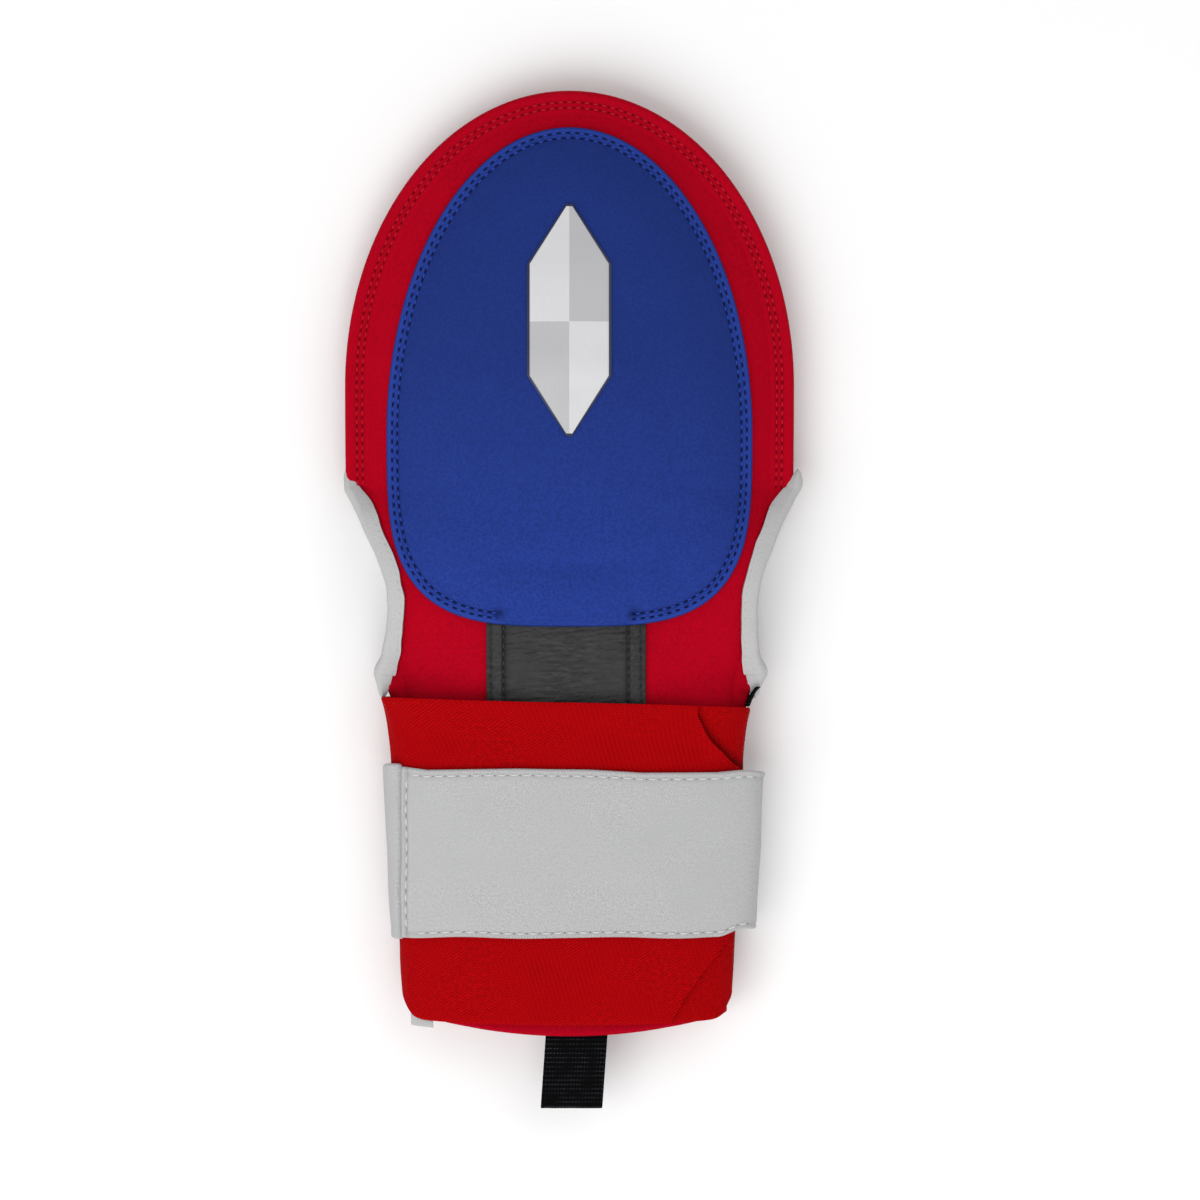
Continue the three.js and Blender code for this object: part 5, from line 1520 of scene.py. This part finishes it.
class MITT_OT_strap(bpy.types.Operator):
    """Builds the closure strap with its hem, its loose turn at the right and its stitching"""

    bl_idname = "mitt.strap"
    bl_label = "Build Closure Strap"

    def edges(self, mitt, turns):
        """The strap's lower and upper edges along the arm at each turn. Where they show they wave, and
        both step outwards at the folded hem. The lower right corner is cut back."""
        wrist = mitt.wrist
        across = np.cos(turns)
        over = ease(2 * np.sin(turns))
        shape = np.interp(across, STRAP_EDGE["across"], STRAP_EDGE["rise"])
        high = mitt.strap_top - wrist.strap_lean * across + wrist.strap_wave * shape * over
        cut = wrist.strap_cut * ease((across - 0.8) / 0.15)
        low = mitt.strap_bottom + cut + 0.25 * MM * np.sin(across * 9) * over
        visible = ease(4 * np.sin(turns) + 0.5)
        upper = ease((-0.9 - across) / 0.012) * visible
        lower = ease((-0.945 - across) / 0.012) * visible
        return low - 0.5 * MM * lower, high + 0.8 * MM * upper

    def off(self, mitt, turn, y):
        """How far the strap's underside is off the sleeve: its seat, and the loose turn."""
        wrist = mitt.wrist
        loop = wrist.strap_loop * np.maximum(0, np.cos(turn)) ** 8
        over = ease(1 + 2 * np.sin(turn))
        soft = waver(turn * WRIST_RADIUS, y, 26 * MM, 91) * 0.18 * MM * over
        return 2 * mitt.layer + mitt.shape.clearance + loop + np.maximum(soft, -0.1 * MM)

    def hem_line(self, mitt):
        """How far across the mitt the edge of the strap's folded hem lies."""
        return mitt.wrist.strap_hem - mitt.section(mitt.strap_top).half - 2 * mitt.layer - 2 * MM

    def places(self, mitt, turn, y):
        """How far to the right a place on the strap lies, how far left of the hem's edge, and 1 where it
        is on the side that shows."""
        x = mitt.oval(turn, y, 2 * mitt.layer)[..., 0]
        return x, self.hem_line(mitt) - x, ease(np.sin(turn) * 6 + 1)

    def relief(self, mitt, turn, y, low, high):
        """The strap's face: rows pressed in along both edges, a thicker hem at the free end with its
        row, and a rim that stands up along the upper edge at the right."""
        x, left, visible = self.places(mitt, turn, y)
        hem = ease((left + 0.4 * MM) / (0.5 * MM)) * 0.55 * MM * visible
        fold = hump((left + 0.5 * MM) / (0.3 * MM)) * 0.25 * MM * visible
        row = hump((left + STRAP_HEM_ROW) / (0.6 * MM)) * 0.26 * MM * visible
        upper = hump((high - y - STRAP_UPPER_ROW) / (0.5 * MM))
        rows = upper + hump((y - low - STRAP_LOWER_ROW) / (0.5 * MM))
        end = ease((x - 0.78 * mitt.section(y).half) / (5 * MM)) * visible
        rim = 0.5 * MM * hump((high - y - 0.9 * MM) / (0.8 * MM)) * end
        return hem - fold - row + rim - 0.24 * MM * rows * (left < -2 * MM)

    def creases(self, mitt, turn, y, low, high):
        """Painted shade in the face's sewn rows and beside the hem, by how deep they lie."""
        _, left, visible = self.places(mitt, turn, y)
        upper = hump((high - y - STRAP_UPPER_ROW) / (0.6 * MM))
        rows = upper + hump((y - low - STRAP_LOWER_ROW) / (0.6 * MM))
        column = hump((left + 0.5 * MM) / (0.35 * MM)) + 0.6 * hump((left + STRAP_HEM_ROW) / (0.6 * MM))
        return 0.22 * rows * (left < -2 * MM) + 0.5 * column * visible

    def execute(self, context):
        mitt = Mitt(context.scene)
        wrist = mitt.wrist
        colours = context.scene.mitt_colours
        cloth = strap_cloth("grey strap cloth", colours.grey_strap)
        thread = sewing_thread("strap thread", colours.pale_thread)
        # Needle hole shadows: dark beads of the strap's colour, as painted shade.
        hole_shadows = sewing_thread("strap needle holes", scaled(colours.grey_strap, 0.6))
        around, along = GRIDS["strap"]
        first, last = wrist.strap_start - math.pi, math.pi + wrist.strap_end
        turns = stretches((first, 0, math.pi * 0.75, last), around)
        low, high = self.edges(mitt, turns)
        turn, y = wrist_grid(turns, along, low, high)
        edges = low[:, None], high[:, None]
        off = self.off(mitt, turn, y)
        thickness = wrist.strap_thickness + self.relief(mitt, turn, y, *edges)
        points, faces, uv, run = layer_solid(mitt, turn, y, off, thickness, edge=0.6 * MM)
        look = {"uv": uv, "sharp": 55, "shade": self.creases(mitt, turn, y, *edges)}
        piece = make_piece("closure_strap_cloth", points, faces, cloth, "grey_cloth", **look)
        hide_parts("closure_strap")
        hem_x = self.hem_line(mitt) + STRAP_HEM_ROW
        first_turn = 0.28
        last_turn = mitt.turn_at(hem_x, mitt.strap_top, 2 * mitt.layer) - 0.03
        turns = np.linspace(first_turn, last_turn, 500)
        low, high = self.edges(mitt, turns)
        self.sew_line(mitt, "strap_upper_row", turns, high - STRAP_UPPER_ROW, (thread, hole_shadows))
        self.sew_line(mitt, "strap_lower_row", turns, low + STRAP_LOWER_ROW, (thread, hole_shadows))
        y = np.linspace(mitt.strap_bottom + 2.5 * MM, mitt.strap_top - 2.5 * MM, 200)
        turns = mitt.turn_at(hem_x, y, 2 * mitt.layer)
        self.sew_line(mitt, "strap_hem_row", turns, y, (thread, hole_shadows))
        return {"FINISHED"}

    def sew_line(self, mitt, name, turns, y, threads):
        """Stitches and needle holes on the strap's face along a line of turns and places along the arm."""
        low, high = self.edges(mitt, turns)

        def on_face(turn, extra):
            rise = mitt.wrist.strap_thickness + self.relief(mitt, turn, y, low, high)
            return mitt.oval(turn, y, self.off(mitt, turn, y) + rise + extra)

        path = on_face(turns, 0.0)
        axis = 1 if np.ptp(path[:, 1]) > np.ptp(path[:, 0]) else 0
        normals = known_along(path, unit(on_face(turns, 1 * MM) - path), axis)
        sew_with_hole_shadows(name, path, normals, mitt.trim.strap_pitch, "strap", threads, "grey_cloth")


class MITT_OT_hem_pieces(bpy.types.Operator):
    """Builds the pull tab, the tag at the hem and the gusset beside the thumb hole"""

    bl_idname = "mitt.hem_pieces"
    bl_label = "Build Tab, Tag and Gusset"

    def execute(self, context):
        mitt = Mitt(context.scene)
        colours = context.scene.mitt_colours
        self.pull_tab(mitt, black_webbing("black webbing", colours.black_web))
        self.gusset(mitt, black_webbing("black stretch cloth", colours.black_web))
        self.label(mitt, tape_knit("grey tag cloth", colours.grey_tape))
        return {"FINISHED"}

    def pull_tab(self, mitt, material):
        """A webbing loop seen from its edge: down the upper ply, round a half circle and back up the
        lower one, both drooping on a power curve, with a rib across every few threads."""
        trim = mitt.trim
        reach = trim.tab_tuck + trim.tab_reach
        bend = trim.tab_webbing + trim.tab_gap / 2
        middle = (trim.tab_webbing + trim.tab_gap) / 2
        straight = reach - bend
        share = np.linspace(0, 1, 150, endpoint=False)
        fold = np.linspace(math.pi / 2, -math.pi / 2, 22)

        def droop(down):
            return -trim.tab_droop * np.maximum(0, (down - trim.tab_tuck) / trim.tab_reach) ** 1.6

        around = straight + middle * np.cos(fold)
        down = np.concatenate([share * straight, around, share[::-1] * straight])
        centre = droop(np.minimum(down, straight))
        up = np.concatenate([middle + 0 * share, middle * np.sin(fold), -middle + 0 * share]) + centre
        line = np.stack([-down, up], -1)
        along = unit(np.gradient(line, axis=0))
        out = np.stack([-along[:, 1], along[:, 0]], -1)
        run = path_run(line)
        share = 0.5 - 0.5 * np.cos(math.pi * np.linspace(0, 1, 28))
        across = trim.tab_width * share - trim.tab_width / 2
        ribs = 0.11 * MM * np.sin(2 * math.pi * run / trim.tab_rib)[:, None]
        ribs = ribs + 0.09 * MM * waver(run[:, None], across[None, :], 5 * MM, 95)
        rolled = rounding(trim.tab_width / 2 - np.abs(across), 0.5 * MM)[None, :]
        half = trim.tab_webbing / 2
        ceiling = mitt.cuff_belly + mitt.shape.cuff_height - mitt.shape.sleeve_wall
        height = ceiling - mitt.shape.clearance - bend

        def skin(off):
            side = line[:, None, :] + out[:, None, :] * off[..., None]
            x = across[None, :] + trim.tab_centre + side[..., 0] * math.tan(trim.tab_lean)
            return np.stack([x, side[..., 0] + mitt.hem + trim.tab_tuck, side[..., 1] + height], -1)

        points, faces = shell(skin(half + ribs - rolled), skin(-half + ribs * 0.4 + rolled * 0.6))
        uv = np.tile(cloth_places(across[None, :], run[:, None]), (2, 1))
        piece = make_piece("pull_tab_webbing", points, faces, material, "black_web", uv=uv, sharp=60)
        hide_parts("pull_tab")

    def gusset(self, mitt, material):
        """A short stretch web beside the thumb hole, with ribs that follow the arm."""
        wrist = mitt.wrist
        top = mitt.hole_bottom - mitt.shape.binding_overrun + wrist.gusset_tuck
        reach = top - mitt.elastic_high(0)
        around, along = GRIDS["gusset"]
        turns = np.linspace(-wrist.gusset_under, wrist.gusset_spread, around)
        low = mitt.elastic_high(turns) + mitt.shape.clearance
        turn, y = wrist_grid(turns, along, low, np.full(len(turns), top))
        share = np.clip(1 - (top - y) / reach, 0, 1)
        ribs = 0.1 * MM * np.sin(turn * 90)
        off = mitt.shape.clearance + wrist.gusset_flare * share**2 + ribs
        points, faces, uv, _ = layer_solid(mitt, turn, y, off, wrist.gusset, edge=0.3 * MM)
        piece = make_piece("side_gusset_web", points, faces, material, "black_web", uv=uv, sharp=60)
        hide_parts("side_gusset")

    def label(self, mitt, material):
        """A small folded tag that follows the oval below the elastic."""
        wrist = mitt.wrist
        off = 2 * mitt.shape.clearance
        start, end = (
            mitt.turn_at(half - wrist.label_centre, mitt.elastic_bottom, off)
            for half in (wrist.label_width / 2, -wrist.label_width / 2)
        )
        around, along = GRIDS["label"]
        turns = np.linspace(start, end, around)
        low = mitt.elastic_low(start) - wrist.label_reach
        tilt = 0.7 * MM * (turns - start) / (end - start)
        high = mitt.elastic_low(turns) - 0.1 * MM
        turn, y = wrist_grid(turns, along, low + tilt, high)
        sag = 0.08 * MM * waver(turn * WRIST_RADIUS, y, 5 * MM, 97)
        points, faces, uv, _ = layer_solid(mitt, turn, y, off + sag, wrist.label_cloth, edge=0.25 * MM)
        piece = make_piece("side_label_cloth", points, faces, material, "grey_cloth", uv=uv, sharp=60)
        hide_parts("side_label")


class MITT_OT_stage(bpy.types.Operator):
    """Builds the pale floor, the soft studio lights and the camera that looks straight down"""

    bl_idname = "mitt.stage"
    bl_label = "Build Stage"

    def softbox(self, name, place, size, power):
        """A square area light at a place, turned towards the mitt."""
        light = bpy.data.lights.new(name, "AREA")
        light.shape = "RECTANGLE"
        light.size, light.size_y = size
        light.energy = power
        lamp = bpy.data.objects.new(name, light)
        lamp.location = place
        from_middle = np.array(place)
        lamp.rotation_euler = (
            math.acos(from_middle[2] / np.linalg.norm(from_middle)),
            0,
            math.atan2(from_middle[1], from_middle[0]) + math.pi / 2,
        )
        bpy.context.scene.collection.objects.link(lamp)

    def execute(self, context):
        scene = context.scene
        reach = 6.0
        mesh = bpy.data.meshes.new("floor")
        corners = [(reach * x, reach * y, 0) for x, y in ((-1, -1), (1, -1), (1, 1), (-1, 1))]
        mesh.from_pydata(corners, [], [(0, 1, 2, 3)])
        mesh.materials.append(floor_paper("pale floor"))
        floor = bpy.data.objects.new("floor", mesh)
        scene.collection.objects.link(floor)
        world = bpy.data.worlds.new("soft room")
        world.use_nodes = True
        background = world.node_tree.nodes["Background"]
        background.inputs["Color"].default_value = (1, 1, 1, 1)
        background.inputs["Strength"].default_value = 0.6
        scene.world = world
        self.softbox("key softbox", (-0.45, -0.85, 1.35), (1.7, 1.5), 20.0)
        self.softbox("fill softbox", (0.7, 0.5, 1.4), (1.2, 1.2), 3.0)
        distance = 3.0
        frame_width = 0.366
        frame_middle = (9.3 * MM, -0.3 * MM)
        rim_height = 14.5 * MM
        camera = bpy.data.cameras.new("camera")
        camera.sensor_width = 36
        camera.lens = camera.sensor_width * (distance - rim_height) / frame_width
        camera.clip_end = 20
        eye = bpy.data.objects.new("camera", camera)
        eye.location = (*frame_middle, distance)
        scene.collection.objects.link(eye)
        scene.camera = eye
        scene.view_settings.view_transform = "Standard"
        return {"FINISHED"}


class MITT_PT_sidebar(bpy.types.Panel):
    """Lists the mitt's sizes, colours and operators"""

    bl_label = "Sliding Mitt"
    bl_idname = "MITT_PT_sidebar"
    bl_space_type = "VIEW_3D"
    bl_region_type = "UI"
    bl_category = "Mitt"

    def draw(self, context):
        layout = self.layout
        for operator in OPERATORS:
            layout.operator(operator.bl_idname)
        for group in GROUPS:
            settings = getattr(context.scene, group)
            box = layout.box()
            for name in settings.bl_rna.properties.keys():
                if name not in ("rna_type", "name"):
                    box.prop(settings, name)


GROUPS = {
    "mitt_shape": MittShape,
    "mitt_wrist": MittWrist,
    "mitt_trim": MittTrim,
    "mitt_colours": MittColours,
}
OPERATORS = (
    MITT_OT_stage,
    MITT_OT_panels,
    MITT_OT_sleeve,
    MITT_OT_bindings,
    MITT_OT_pad,
    MITT_OT_badge,
    MITT_OT_strip,
    MITT_OT_elastic,
    MITT_OT_strap,
    MITT_OT_hem_pieces,
)


def register():
    for kind in (*GROUPS.values(), *OPERATORS, MITT_PT_sidebar):
        bpy.utils.register_class(kind)
    for name, kind in GROUPS.items():
        setattr(bpy.types.Scene, name, bpy.props.PointerProperty(type=kind))


def unregister():
    for name in GROUPS:
        delattr(bpy.types.Scene, name)
    for kind in reversed((*GROUPS.values(), *OPERATORS, MITT_PT_sidebar)):
        bpy.utils.unregister_class(kind)


def main():
    register()
    for operator in OPERATORS:
        group, name = operator.bl_idname.split(".")
        getattr(getattr(bpy.ops, group), name)()


if __name__ == "__main__":
    main()
